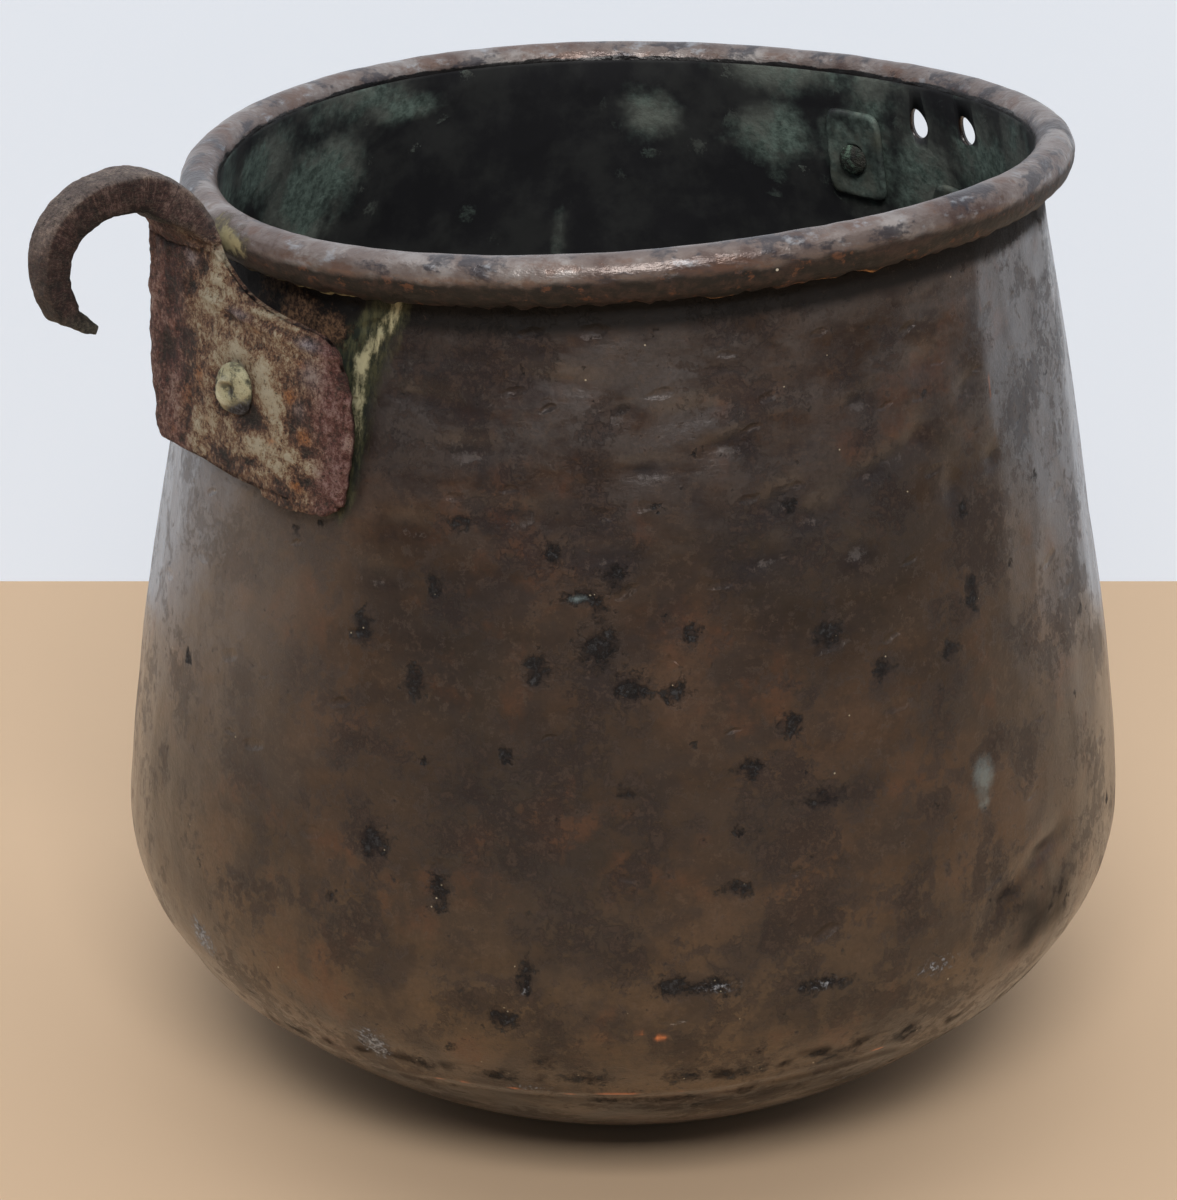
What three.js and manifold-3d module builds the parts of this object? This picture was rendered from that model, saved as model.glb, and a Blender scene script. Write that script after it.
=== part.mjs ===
// A beaten copper cooking pot with a rim rolled over an iron wire and one surviving iron hook ear.
// Millimetres, +Z up. The origin is the middle of the flat under the base, on the surface it stands on.
// Directions round the pot are in degrees from the front (-Y) towards the right (+X).

import * as THREE from 'three';
import { mergeVertices } from 'three/addons/utils/BufferGeometryUtils.js';
import Module from 'manifold-3d';

const wasm = await Module();
wasm.setup();

// Sheet, rim and base
const SHEET = 1.4;
const RIM_HEIGHT = 228.1;
const RIM_RADIUS = 100;
const WIRE_RADIUS = 3;
const WIRE_CLEARANCE = 0.3;
const CURL_INNER = WIRE_RADIUS + WIRE_CLEARANCE;
const CURL_OUTER = CURL_INNER + SHEET;
const CURL_DROP = 1.35;
const CURL_END = -95;
const BASE_FLAT = 45;
const BASE_EDGE_RADIUS = 112.1;
const BASE_EDGE_HEIGHT = 38.3;
const BASE_POWER = 1.8;

// Outside radius of the wall by height, from the base edge to just under the rolled rim
const WALL = [
  [38.3, 112.1],
  [51.6, 120.1],
  [64.9, 123.1],
  [80.1, 122.3],
  [99, 120.2],
  [123.7, 116.5],
  [152.2, 111.5],
  [180.6, 106.3],
  [205.3, 101.1],
  [220, 98.4],
];

// How far the old pot is out of true at the rim; it fades to nothing at the base
const RIM_UP_FRONT = 2.1;
const RIM_UP_RIGHT = 4.5;
const RIM_UP_TWIST = 1.8;
const MOUTH_FORWARD = 2;
const MOUTH_OVAL = 0.7;
const MOUTH_OVAL_AT = 26;
const MOUTH_THREE_SIDED = -0.6;

// Round counts
const ROUND = 64;
const BASE_STEPS = 5;
const WALL_STEPS = 11;
const CURL_STEPS = 8;
const WIRE_SIDES = 10;
const SMALL_ROUND = 20;
const FINE_WALL_STEPS = 200;
const SLOPE_REACH = 4;

// The ear: an upright plate riveted to the wall, whose neck runs up into a hook
const GAP = 0.3;
const EAR_AT = -50.8;
const EAR_PLATE_THICK = 3.2;
const EAR_PLATE_EDGE = 2.2;
const EAR_BACK_AT_FOOT = 108.9;
const EAR_FOOT = 170;
const EAR_LEAN = -0.045;
const EAR_BEND_RADIUS = 114;

// Height, left end and right end of the plate, seen from outside, measured from the rivet
const EAR_PLATE = [
  [170.2, 12, 22],
  [171, 8, 27],
  [172.4, 3, 29.8],
  [173.6, -27, 31],
  [174.6, -32.8, 32],
  [180, -33.8, 33.2],
  [186, -34.4, 34.2],
  [192, -34.9, 34.6],
  [199, -35.4, 33.7],
  [205, -35.7, 32],
  [209.7, -36, 29.2],
  [212, -36.1, 24.5],
  [213.2, -36.2, 15],
  [214.7, -36.2, 6],
  [217, -36.2, -0.5],
  [220.2, -36, -5.8],
];

// Middle line of the hook: distance out from the pot's axis and height, then where its middle is
// along the wall, its width along the wall and its thickness
const HOOK = [
  [108.1, 224.6, -22.7, 26.8, 3.6],
  [108.9, 229.2, -23.6, 23, 5.4],
  [112, 233, -25, 18, 7.8],
  [118, 235, -26.4, 13.6, 8.9],
  [124.4, 235, -27, 11, 8.7],
  [130.6, 233.8, -27.2, 9.8, 8],
  [136.4, 230.3, -27.3, 9, 7.6],
  [140.3, 225.6, -27.3, 8.7, 6.9],
  [141.6, 220.6, -27.3, 8.5, 6.4],
  [141.5, 216.5, -27.2, 8.3, 6.1],
  [140.1, 212.1, -27.1, 8, 6],
  [138.1, 208.8, -27, 7.6, 5.5],
  [134.8, 206.2, -27, 7.2, 4.2],
  [131.6, 204.2, -27, 6.6, 2.4],
];
const HOOK_STEPS = 30;
const HOOK_EDGE_SHARE = 0.42;
const FACE_POINTS = 9;

// Rivets: where they pass the wall and their sizes
const EAR_RIVET = { at: EAR_AT, height: 193.5, shank: 3.1, head: 6.2, headHigh: 3, tail: 5, tailHigh: 2 };
const PATCH_RIVET = { at: 141, height: 207, shank: 2.2, head: 4.6, headHigh: 1.8, tail: 4.2, tailHigh: 2 };
const LOST_EAR_RIVET = { at: 120.8, height: 193, shank: 3.1, head: 6, headHigh: 2.2, tail: 5, tailHigh: 2 };

// Shape of a rivet's head and of its clenched tail: shares of the radius and of the height
const HEAD_CURVE = [[0.97, 0], [1, 0.25], [0.75, 0.75], [0.35, 0.97], [0, 1]];
const TAIL_CURVE = [[0, 1], [0.6, 0.8], [1, 0.25], [0.96, 0]];

// Extra room under a rivet's head or tail, because the wall and the plates behind it are curved
const EAR_TAIL_ROOM = 1;
const PATCH_HEAD_ROOM = 0.1;
const LOST_EAR_HEAD_ROOM = 0.2;

// How far the holes are cut, measured out of the wall
const SHANK_HOLE = { from: -8, to: 8 };
const PLATE_HOLE = { from: 0.5, to: 14 };
const PUNCHED = { from: -8, to: 1 };

// Plates that the rivets are clenched on, inside the pot
const EAR_ROVE = { wide: 20, high: 20, thick: 1.5, corner: 8, slack: 1.3 };
const PATCH_PLATE = { wide: 18, high: 24, thick: 1.6, corner: 3, slack: 0.6 };
const LOST_EAR_ROVE = { wide: 20, high: 25, thick: 1.6, corner: 8, slack: 0.6 };

// Two holes punched through the wall beside the lost ear
const PUNCHED_HOLES = [
  { at: 128.3, height: 219.2, wide: 7, high: 8 },
  { at: 116.3, height: 222, wide: 8.2, high: 7.6 },
];

const COPPER = { color: 0x4a392f, roughness: 0.5, metalness: 0.85 };
const COPPER_GREEN = { color: 0x46544a, roughness: 0.85, metalness: 0.3 };
const IRON = { color: 0x5a3a2c, roughness: 0.9, metalness: 0.3 };

const radians = THREE.MathUtils.degToRad;

// Rise and spread of the rim at a direction round the pot
function rimRise(angle) {
  return RIM_UP_FRONT * Math.cos(angle) + RIM_UP_RIGHT * Math.sin(angle) + RIM_UP_TWIST * Math.sin(2 * angle);
}

function rimSpread(angle) {
  const oval = MOUTH_OVAL * Math.cos(2 * (angle - radians(MOUTH_OVAL_AT)));
  return MOUTH_FORWARD * Math.cos(angle) + oval + MOUTH_THREE_SIDED * Math.cos(3 * angle);
}

// Moves every point of a true, round shape to where the out-of-true pot has it
function warp(geometry) {
  const position = geometry.getAttribute('position');
  for (let i = 0; i < position.count; i += 1) {
    const x = position.getX(i);
    const y = position.getY(i);
    const z = position.getZ(i);
    const radius = Math.hypot(x, y);
    if (radius < 1e-6) {
      continue;
    }
    const angle = Math.atan2(x, -y);
    const share = z / RIM_HEIGHT;
    const spread = (radius + share * share * rimSpread(angle)) / radius;
    position.setXYZ(i, x * spread, y * spread, z + share * rimRise(angle));
  }
  return geometry;
}

// A smooth curve through height and radius pairs, as points of a lathe profile
function wallCurve(steps) {
  const through = WALL.map(([height, radius]) => new THREE.Vector2(radius, height));
  return new THREE.SplineCurve(through).getPoints(steps);
}

// Outside radius of the real wall at a direction and a real height
function wallRadius(angle, height) {
  const trueHeight = height / (1 + rimRise(angle) / RIM_HEIGHT);
  const curve = wallCurve(FINE_WALL_STEPS);
  const above = curve.findIndex((point) => point.y >= trueHeight);
  const next = above > 0 ? above : curve.length - 1;
  const high = curve[next];
  const low = curve[next - 1];
  const share = (trueHeight - low.y) / (high.y - low.y);
  const radius = low.x + (high.x - low.x) * share;
  return radius + (trueHeight / RIM_HEIGHT) ** 2 * rimSpread(angle);
}

// The outside of the sheet from the middle of the base to the rim, as a lathe profile
function outsideProfile() {
  const points = [new THREE.Vector2(0, 0), new THREE.Vector2(BASE_FLAT, 0)];
  for (let i = 1; i < BASE_STEPS; i += 1) {
    const share = i / BASE_STEPS;
    const radius = BASE_FLAT + (BASE_EDGE_RADIUS - BASE_FLAT) * share;
    points.push(new THREE.Vector2(radius, BASE_EDGE_HEIGHT * share ** BASE_POWER));
  }
  return points.concat(wallCurve(WALL_STEPS));
}

// The same line moved into the pot by the sheet's thickness
function insideProfile(outside) {
  return outside.map((point, i) => {
    const before = outside[Math.max(i - 1, 0)];
    const after = outside[Math.min(i + 1, outside.length - 1)];
    const along = after.clone().sub(before).normalize();
    if (point.x === 0) {
      return new THREE.Vector2(0, SHEET);
    }
    return new THREE.Vector2(point.x - along.y * SHEET, point.y + along.x * SHEET);
  });
}

// An arc of the rolled rim about its wire, from the wall over the top and down outside
function curlArc(radius, fromDegrees, toDegrees) {
  const points = [];
  for (let i = 0; i <= CURL_STEPS; i += 1) {
    const angle = radians(fromDegrees + (toDegrees - fromDegrees) * (i / CURL_STEPS));
    const drop = Math.sin(angle) < 0 ? CURL_DROP : 1;
    points.push(new THREE.Vector2(
      RIM_RADIUS + radius * Math.cos(angle),
      RIM_HEIGHT + radius * Math.sin(angle) * drop,
    ));
  }
  return points;
}

// Turns a lathe profile about the pot's upright axis
function turned(profile, segments) {
  return new THREE.LatheGeometry(profile, segments).rotateX(Math.PI / 2);
}

// A closed mesh as a solid that can be joined and cut
function solid(geometry) {
  const bare = geometry.clone();
  bare.deleteAttribute('normal');
  bare.deleteAttribute('uv');
  const merged = mergeVertices(bare, 1e-4);
  const corners = merged.getIndex().array;
  const kept = [];
  for (let i = 0; i < corners.length; i += 3) {
    const [a, b, c] = [corners[i], corners[i + 1], corners[i + 2]];
    if (a !== b && b !== c && c !== a) {
      kept.push(a, b, c);
    }
  }
  return new wasm.Manifold(new wasm.Mesh({
    numProp: 3,
    vertProperties: new Float32Array(merged.getAttribute('position').array),
    triVerts: new Uint32Array(kept),
  }));
}

function geometryOf(body) {
  const mesh = body.getMesh();
  const geometry = new THREE.BufferGeometry();
  geometry.setAttribute('position', new THREE.BufferAttribute(new Float32Array(mesh.vertProperties), 3));
  geometry.setIndex(new THREE.BufferAttribute(new Uint32Array(mesh.triVerts), 1));
  geometry.computeVertexNormals();
  return geometry;
}

function named(name, geometry, finish) {
  const mesh = new THREE.Mesh(geometry, new THREE.MeshStandardMaterial(finish));
  mesh.name = name;
  return mesh;
}

// A place on the wall: X along the wall to the right, Y up it, Z out of it
function placeOnWall(atDegrees, height, slope) {
  const angle = radians(atDegrees);
  const along = new THREE.Vector3(Math.cos(angle), Math.sin(angle), 0);
  const out = new THREE.Vector3(Math.sin(angle), -Math.cos(angle), -slope).normalize();
  const up = out.clone().cross(along).normalize();
  const radius = wallRadius(angle, height);
  const place = new THREE.Matrix4().makeBasis(along, up, out);
  place.setPosition(radius * Math.sin(angle), -radius * Math.cos(angle), height);
  return place;
}

// How much the wall's radius changes for each millimetre of height
function wallSlope(atDegrees, height) {
  const angle = radians(atDegrees);
  const change = wallRadius(angle, height + SLOPE_REACH) - wallRadius(angle, height - SLOPE_REACH);
  return change / (2 * SLOPE_REACH);
}

// A round rod along a place's Z, from one distance to another, to cut a hole with
function rodThrough(place, radiusX, radiusY, reach) {
  const rod = new THREE.CylinderGeometry(1, 1, reach.to - reach.from, SMALL_ROUND);
  rod.rotateX(Math.PI / 2);
  rod.scale(radiusX, radiusY, 1);
  rod.translate(0, 0, (reach.from + reach.to) / 2);
  return solid(rod.applyMatrix4(place));
}

// A rivet in one piece: domed head outside, shank, and a clenched tail inside
function rivetProfile(rivet, headSeat, seatOfTail) {
  const tail = TAIL_CURVE.map(([across, deep]) => (
    new THREE.Vector2(rivet.tail * across, seatOfTail - rivet.tailHigh * deep)
  ));
  const head = HEAD_CURVE.map(([across, high]) => (
    new THREE.Vector2(rivet.head * across, headSeat + rivet.headHigh * high)
  ));
  const shank = [new THREE.Vector2(rivet.shank, seatOfTail), new THREE.Vector2(rivet.shank, headSeat)];
  return [...tail, ...shank, ...head];
}

// A plate with rounded corners and a hole for its rivet, its outer face at a place's Z
function rovePlate(plate, outerFace, holeRadius) {
  const wide = plate.wide / 2;
  const high = plate.high / 2;
  const corner = plate.corner;
  const shape = new THREE.Shape();
  shape.moveTo(wide - corner, -high);
  shape.absarc(wide - corner, -high + corner, corner, -Math.PI / 2, 0);
  shape.absarc(wide - corner, high - corner, corner, 0, Math.PI / 2);
  shape.absarc(-wide + corner, high - corner, corner, Math.PI / 2, Math.PI);
  shape.absarc(-wide + corner, -high + corner, corner, Math.PI, Math.PI * 1.5);
  const hole = new THREE.Path();
  hole.absarc(0, 0, holeRadius, 0, Math.PI * 2, true);
  shape.holes.push(hole);
  const options = { depth: plate.thick, bevelEnabled: false, curveSegments: 5 };
  return new THREE.ExtrudeGeometry(shape, options).translate(0, 0, outerFace - plate.thick);
}

// Sections joined one to the next and closed at both ends
function loft(sections) {
  const count = sections[0].length;
  const positions = sections.flat().flatMap((point) => [point.x, point.y, point.z]);
  const faces = [];
  for (let row = 0; row + 1 < sections.length; row += 1) {
    for (let i = 0; i < count; i += 1) {
      const a = row * count + i;
      const b = row * count + ((i + 1) % count);
      faces.push(a, b, b + count, a, b + count, a + count);
    }
  }
  const last = (sections.length - 1) * count;
  for (let i = 0; i + 1 < count / 2; i += 1) {
    const j = count - 1 - i;
    faces.push(i, j, i + 1, j, j - 1, i + 1);
    faces.push(last + i, last + i + 1, last + j, last + j, last + i + 1, last + j - 1);
  }
  const geometry = new THREE.BufferGeometry();
  geometry.setAttribute('position', new THREE.Float32BufferAttribute(positions, 3));
  geometry.setIndex(faces);
  return geometry;
}

// A point of the ear from its distance along the wall, its distance out and its height;
// right of the rivet the plate is beaten round to follow the wall
function earPoint(along, out, height) {
  const angle = radians(EAR_AT);
  let aside = along;
  let outward = out;
  if (along > 0) {
    const turn = along / EAR_BEND_RADIUS;
    aside = (EAR_BEND_RADIUS + out - EAR_BACK_AT_FOOT) * Math.sin(turn);
    outward = out - (EAR_BEND_RADIUS + out - EAR_BACK_AT_FOOT) * (1 - Math.cos(turn));
  }
  const x = outward * Math.sin(angle) + aside * Math.cos(angle);
  const y = -outward * Math.cos(angle) + aside * Math.sin(angle);
  return new THREE.Vector3(x, y, height);
}

// One closed section across the ear: its outer face from left to right, then its inner face back
function earSection(left, right, middleOut, middleHeight, across, thick, edge) {
  const outer = [];
  const inner = [];
  for (let i = 0; i < FACE_POINTS; i += 1) {
    const share = (i / (FACE_POINTS - 1)) * 2 - 1;
    const along = (left + right) / 2 + (share * (right - left)) / 2;
    const half = (edge + (thick - edge) * Math.sqrt(1 - share ** 4)) / 2;
    outer.push(earPoint(along, middleOut + across.x * half, middleHeight + across.y * half));
    inner.unshift(earPoint(along, middleOut - across.x * half, middleHeight - across.y * half));
  }
  return outer.concat(inner);
}

// Middle of the plate's thickness, as a distance out from the pot's axis
function plateMiddle(height) {
  return EAR_BACK_AT_FOOT + EAR_LEAN * (height - EAR_FOOT) + EAR_PLATE_THICK / 2;
}

function earSections() {
  const outward = new THREE.Vector2(1, -EAR_LEAN).normalize();
  const sections = EAR_PLATE.map(([height, left, right]) => (
    earSection(left, right, plateMiddle(height), height, outward, EAR_PLATE_THICK, EAR_PLATE_EDGE)
  ));
  const line = new THREE.SplineCurve(HOOK.map(([out, height]) => new THREE.Vector2(out, height)));
  const sizes = new THREE.CatmullRomCurve3(
    HOOK.map(([, , middle, wide, thick]) => new THREE.Vector3(middle, wide, thick)),
  );
  for (let i = 0; i <= HOOK_STEPS; i += 1) {
    const share = i / HOOK_STEPS;
    const middle = line.getPoint(share);
    const along = line.getTangent(share);
    const size = sizes.getPoint(share);
    const across = i === 0 ? outward : new THREE.Vector2(along.y, -along.x);
    const half = size.y / 2;
    sections.push(earSection(
      size.x - half,
      size.x + half,
      middle.x,
      middle.y,
      across,
      size.z,
      size.z * HOOK_EDGE_SHARE,
    ));
  }
  return sections;
}

// Wall places of the rivets
const earPlace = placeOnWall(EAR_RIVET.at, EAR_RIVET.height, EAR_LEAN);
const earRovePlace = placeOnWall(EAR_RIVET.at, EAR_RIVET.height, wallSlope(EAR_RIVET.at, EAR_RIVET.height));
const patchPlace = placeOnWall(
  PATCH_RIVET.at,
  PATCH_RIVET.height,
  wallSlope(PATCH_RIVET.at, PATCH_RIVET.height),
);
const lostEarPlace = placeOnWall(
  LOST_EAR_RIVET.at,
  LOST_EAR_RIVET.height,
  wallSlope(LOST_EAR_RIVET.at, LOST_EAR_RIVET.height),
);

// How deep a flat plate of some width sits behind the outside of the curved wall
function roveDepth(plate) {
  const half = plate.wide / 2;
  return -(SHEET + GAP + half ** 2 / (2 * RIM_RADIUS) + GAP);
}

function potBody() {
  const outside = outsideProfile();
  const inside = insideProfile(outside);
  const profile = outside
    .concat(curlArc(CURL_INNER, 180, CURL_END))
    .concat(curlArc(CURL_OUTER, CURL_END, 180))
    .concat(inside.reverse());
  let body = solid(warp(turned(profile, ROUND)));
  const shanks = [[earPlace, EAR_RIVET], [patchPlace, PATCH_RIVET], [lostEarPlace, LOST_EAR_RIVET]];
  for (const [place, rivet] of shanks) {
    const radius = rivet.shank + GAP;
    body = body.subtract(rodThrough(place, radius, radius, SHANK_HOLE));
  }
  for (const hole of PUNCHED_HOLES) {
    const place = placeOnWall(hole.at, hole.height, 0);
    body = body.subtract(rodThrough(place, hole.wide / 2, hole.high / 2, PUNCHED));
  }
  return named('pot_body', geometryOf(body), COPPER);
}

function rimWire() {
  const ring = [];
  for (let i = 0; i <= WIRE_SIDES; i += 1) {
    const angle = (i / WIRE_SIDES) * Math.PI * 2;
    ring.push(new THREE.Vector2(
      RIM_RADIUS + WIRE_RADIUS * Math.cos(angle),
      RIM_HEIGHT + WIRE_RADIUS * Math.sin(angle),
    ));
  }
  return named('rim_wire', geometryOf(solid(warp(turned(ring, ROUND)))), IRON);
}

function earHook() {
  const radius = EAR_RIVET.shank + GAP;
  const hole = rodThrough(earPlace, radius, radius, PLATE_HOLE);
  return named('ear_hook', geometryOf(solid(loft(earSections())).subtract(hole)), IRON);
}

// A rivet whose tail is clenched behind a plate inside the pot
function rivetNode(name, place, rivet, headSeat, seatOfTail) {
  const body = new THREE.LatheGeometry(rivetProfile(rivet, headSeat, seatOfTail), SMALL_ROUND);
  const mesh = named(name, geometryOf(solid(body.rotateX(Math.PI / 2))), COPPER);
  mesh.applyMatrix4(place);
  return mesh;
}

function plateNode(name, place, plate, rivet) {
  const hole = rivet.shank + plate.slack;
  const mesh = named(name, geometryOf(solid(rovePlate(plate, roveDepth(plate), hole))), COPPER_GREEN);
  mesh.applyMatrix4(place);
  return mesh;
}

// Where a rivet's tail sits behind its plate
function tailSeat(plate) {
  return roveDepth(plate) - plate.thick - GAP;
}

const earHeadSeat = plateMiddle(EAR_RIVET.height) + EAR_PLATE_THICK / 2 + GAP
  - wallRadius(radians(EAR_AT), EAR_RIVET.height);
const earTailSeat = tailSeat(EAR_ROVE) - EAR_TAIL_ROOM;
const patchHeadSeat = GAP + PATCH_HEAD_ROOM;
const lostHeadSeat = GAP + LOST_EAR_HEAD_ROOM;

const pot = new THREE.Group();
pot.add(potBody());
pot.add(rimWire());
pot.add(earHook());
pot.add(rivetNode('ear_rivet', earPlace, EAR_RIVET, earHeadSeat, earTailSeat));
pot.add(plateNode('ear_rove', earRovePlace, EAR_ROVE, EAR_RIVET));
pot.add(plateNode('patch_plate', patchPlace, PATCH_PLATE, PATCH_RIVET));
pot.add(rivetNode('patch_rivet', patchPlace, PATCH_RIVET, patchHeadSeat, tailSeat(PATCH_PLATE)));
pot.add(plateNode('lost_ear_rove', lostEarPlace, LOST_EAR_ROVE, LOST_EAR_RIVET));
pot.add(rivetNode('lost_ear_rivet', lostEarPlace, LOST_EAR_RIVET, lostHeadSeat, tailSeat(LOST_EAR_ROVE)));

export default pot;
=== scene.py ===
import math

import bmesh
import bpy
import numpy as np
from mathutils import Euler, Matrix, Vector, noise


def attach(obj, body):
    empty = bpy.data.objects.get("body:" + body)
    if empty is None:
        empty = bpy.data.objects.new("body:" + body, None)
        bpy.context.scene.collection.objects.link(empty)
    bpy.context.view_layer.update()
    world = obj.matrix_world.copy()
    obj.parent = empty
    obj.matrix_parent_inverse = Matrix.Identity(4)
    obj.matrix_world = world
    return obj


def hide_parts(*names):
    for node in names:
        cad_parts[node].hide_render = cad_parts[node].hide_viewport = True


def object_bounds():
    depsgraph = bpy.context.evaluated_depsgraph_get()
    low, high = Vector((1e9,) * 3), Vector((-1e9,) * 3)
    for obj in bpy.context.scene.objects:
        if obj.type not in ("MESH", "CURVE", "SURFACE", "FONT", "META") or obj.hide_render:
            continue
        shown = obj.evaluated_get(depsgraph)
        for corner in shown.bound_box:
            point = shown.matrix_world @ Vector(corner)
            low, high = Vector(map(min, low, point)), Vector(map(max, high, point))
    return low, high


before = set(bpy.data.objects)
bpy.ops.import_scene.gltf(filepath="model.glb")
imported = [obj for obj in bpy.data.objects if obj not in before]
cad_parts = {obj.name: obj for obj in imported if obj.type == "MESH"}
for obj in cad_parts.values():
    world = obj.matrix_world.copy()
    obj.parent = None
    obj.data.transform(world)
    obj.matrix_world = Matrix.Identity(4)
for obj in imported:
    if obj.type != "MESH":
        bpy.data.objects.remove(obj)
cad_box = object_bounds()

# A beaten copper cooking pot with one riveted iron hook ear. Sizes are in millimetres until a mesh is made.
# Directions round the pot are in degrees from the front (-Y) towards the right (+X).
MM = 0.001

# The sheet, as in the CAD model. The roll's lower half is drawn down, and its edge is at CURL_END degrees.
SHEET = 1.4
RIM_HEIGHT, RIM_RADIUS = 228.1, 100
CURL_INNER, CURL_OUTER, CURL_DROP, CURL_END = 3.3, 4.7, 1.35, -95
BASE_FLAT, BASE_EDGE_RADIUS, BASE_EDGE_HEIGHT, BASE_POWER = 45, 112.1, 38.3, 1.8
WALL = [
    (38.3, 112.1), (51.6, 120.1), (64.9, 123.1), (80.1, 122.3), (99, 120.2),
    (123.7, 116.5), (152.2, 111.5), (180.6, 106.3), (205.3, 101.1), (220, 98.4),
]

# How far the old pot is out of true at the rim
RIM_UP_FRONT, RIM_UP_RIGHT, RIM_UP_TWIST = 2.1, 4.5, 1.8
MOUTH_FORWARD, MOUTH_OVAL, MOUTH_OVAL_AT, MOUTH_THREE_SIDED = 2, 0.7, 26, -0.6

# Rows and divisions of the dressed sheet
DIVISIONS, BASE_ROWS, WALL_ROWS = 448, 34, 112
CURL_INNER_ROWS, CURL_OUTER_ROWS, INSIDE_ROWS = 10, 28, 30

# The ear's plate, as in the CAD model apart from its chipped outline: (height, left end, right end) along the wall
EAR_AT, EAR_THICK, EAR_EDGE = -50.8, 3.2, 2.2
EAR_BACK_AT_FOOT, EAR_FOOT, EAR_LEAN, EAR_BEND_RADIUS = 108.9, 170, -0.045, 114
EAR_PLATE = [
    (170.2, 12, 22), (171, 8, 27), (172.4, 3, 29.8), (173.6, -28, 31), (174.6, -33.8, 32), (180, -35, 33.2),
    (186, -36.1, 34.2), (192, -36.8, 34.6), (199, -37.1, 33.7), (205, -37, 32), (209.7, -36.8, 29.2),
    (212, -36.7, 24.5), (213.2, -36.6, 15), (214.7, -36.6, 6), (217, -36.6, -0.5), (220.2, -36.4, -5.8),
]
# (distance out, height, middle along the wall, width, thickness) of the hook
HOOK = [
    (108.1, 221.8, -22.4, 28.2, 3.3), (108.5, 224.8, -23.4, 26, 4.4), (109.8, 228.3, -24.8, 22.4, 6.8),
    (112.9, 231.6, -26.1, 17.4, 9.8), (118, 234.6, -26.9, 13.2, 9.2), (124.4, 234.9, -27, 11, 8.5),
    (130.6, 233.7, -27.2, 9.8, 8.3), (136.3, 230.3, -27.3, 9.2, 8.4), (139.8, 225.5, -27.3, 8.9, 7.8),
    (140.9, 220.6, -27.3, 8.6, 7.2), (140.8, 216.5, -27.2, 8.4, 7), (139.7, 212.8, -27.1, 8.2, 6.8),
    (138.7, 210.6, -27, 8, 6.5), (137.4, 209.2, -27, 7.6, 4.8), (135.8, 208, -27, 7.3, 4.4),
    (133.8, 206.6, -27, 7, 3.8), (131.8, 205.4, -27, 6.4, 2.2),
]
# The middle of the hook's curve (distance out, height), how far out it begins, and how square its sides are
HOOK_MIDDLE, HOOK_FROM, HOOK_SQUARE = (124.5, 219), 116, 0.7
PLATE_STEPS, HOOK_STEPS, FACE_STEPS = 110, 150, 64
# Places on the ear's face: (along from the rivet, height, half width, half height, strength)
EAR_CREAM = [
    (-10, 212, 5, 4, 0.9), (12, 179.5, 6, 2.4, 0.8), (18, 182.6, 3, 2, 0.7), (3, 179.6, 4, 1.6, 0.5),
    (0, 202, 7, 3.4, 0.9), (8.4, 199.6, 4.5, 4.5, 1.15), (11.5, 195, 3.6, 4, 1.2), (14, 189, 2.6, 5, 1),
    (7.7, 182.2, 5, 2.6, 1.2), (-7, 203, 5, 3, 0.6), (4, 207, 8, 2.4, 0.45), (-10, 186, 3, 5, 0.55),
    (-2, 184, 5, 2, 0.5), (11.5, 182.6, 4, 2, 1), (-8.3, 198.4, 2.5, 4, 0.6), (-16, 180.8, 2.5, 4, 0.8),
    (-16.5, 176.9, 3, 2, 0.7), (-14.7, 203.9, 4, 3, 0.55), (23.8, 181.2, 2.6, 1.8, 0.85), (7.3, 176.8, 3.5, 1.2, 0.6),
    (34.3, 189.2, 1.2, 1.4, 0.9), (-8.6, 221.4, 2.4, 2.6, 0.9), (-9, 216.4, 3.4, 2.4, 1), (-3.9, 214.6, 4, 1.5, 0.8),
    (8, 212.8, 7, 0.9, 0.75), (18, 211.8, 5, 0.8, 0.7), (0, 208, 14, 0.8, 0.45), (-12, 190, 2, 3, 0.5),
    (-26, 186, 2, 3, 0.35), (0, 180, 6, 2, 0.4), (16, 205, 5, 4, 0.3), (26, 206, 2, 1.5, 0.4),
]
EAR_ORANGE = [
    (-26.1, 201.8, 2.6, 2, 0.9), (-14.8, 192.7, 2, 3, 0.9), (-20.5, 187, 3, 3, 1), (7, 208.7, 2, 1.5, 0.8),
    (18.1, 196.3, 2.4, 2, 1.2), (21.4, 204.1, 2.4, 1.5, 0.7), (22, 187.7, 2.2, 1.8, 1.3), (20, 175.9, 2.4, 1.4, 1.1),
    (12.4, 184.6, 2, 1.6, 0.8), (-26.8, 177.5, 3, 1.8, 0.9), (-34.5, 214.6, 1.2, 7, 0.8), (-34, 204, 1, 6, 0.5),
    (3, 201, 3, 2, 0.6), (-12, 184, 3, 2, 0.5),
]
EAR_DARK = [
    (-29, 195.5, 4, 4, 0.9), (-21, 201, 4, 2, 0.8), (-29.5, 188.3, 2, 1.4, 0.8), (-20.5, 191, 2, 1.4, 0.7),
    (5.6, 188.4, 3.4, 3, 1.3), (-7.1, 189.4, 1.6, 3, 1), (18.6, 191, 1.6, 2.6, 0.8), (-2.4, 209.6, 2, 1.4, 0.7),
    (5.6, 206, 2.4, 1.6, 0.6), (4.5, 177.8, 2.4, 1, 0.8), (23.2, 184.6, 2.4, 1.2, 0.9), (22.9, 177.8, 2, 1.2, 0.8),
    (-22.7, 175.6, 1.6, 1, 0.7), (-18, 212.8, 2.4, 1.4, 0.8), (-13.4, 218.1, 2, 2, 0.7), (-26, 210, 4, 6, 0.6),
    (10, 178, 3, 1, 0.5), (-6, 176.5, 4, 1.4, 0.5), (-24, 218, 4, 5, 0.5), (-20, 183, 1.2, 2, 0.6),
]
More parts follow.
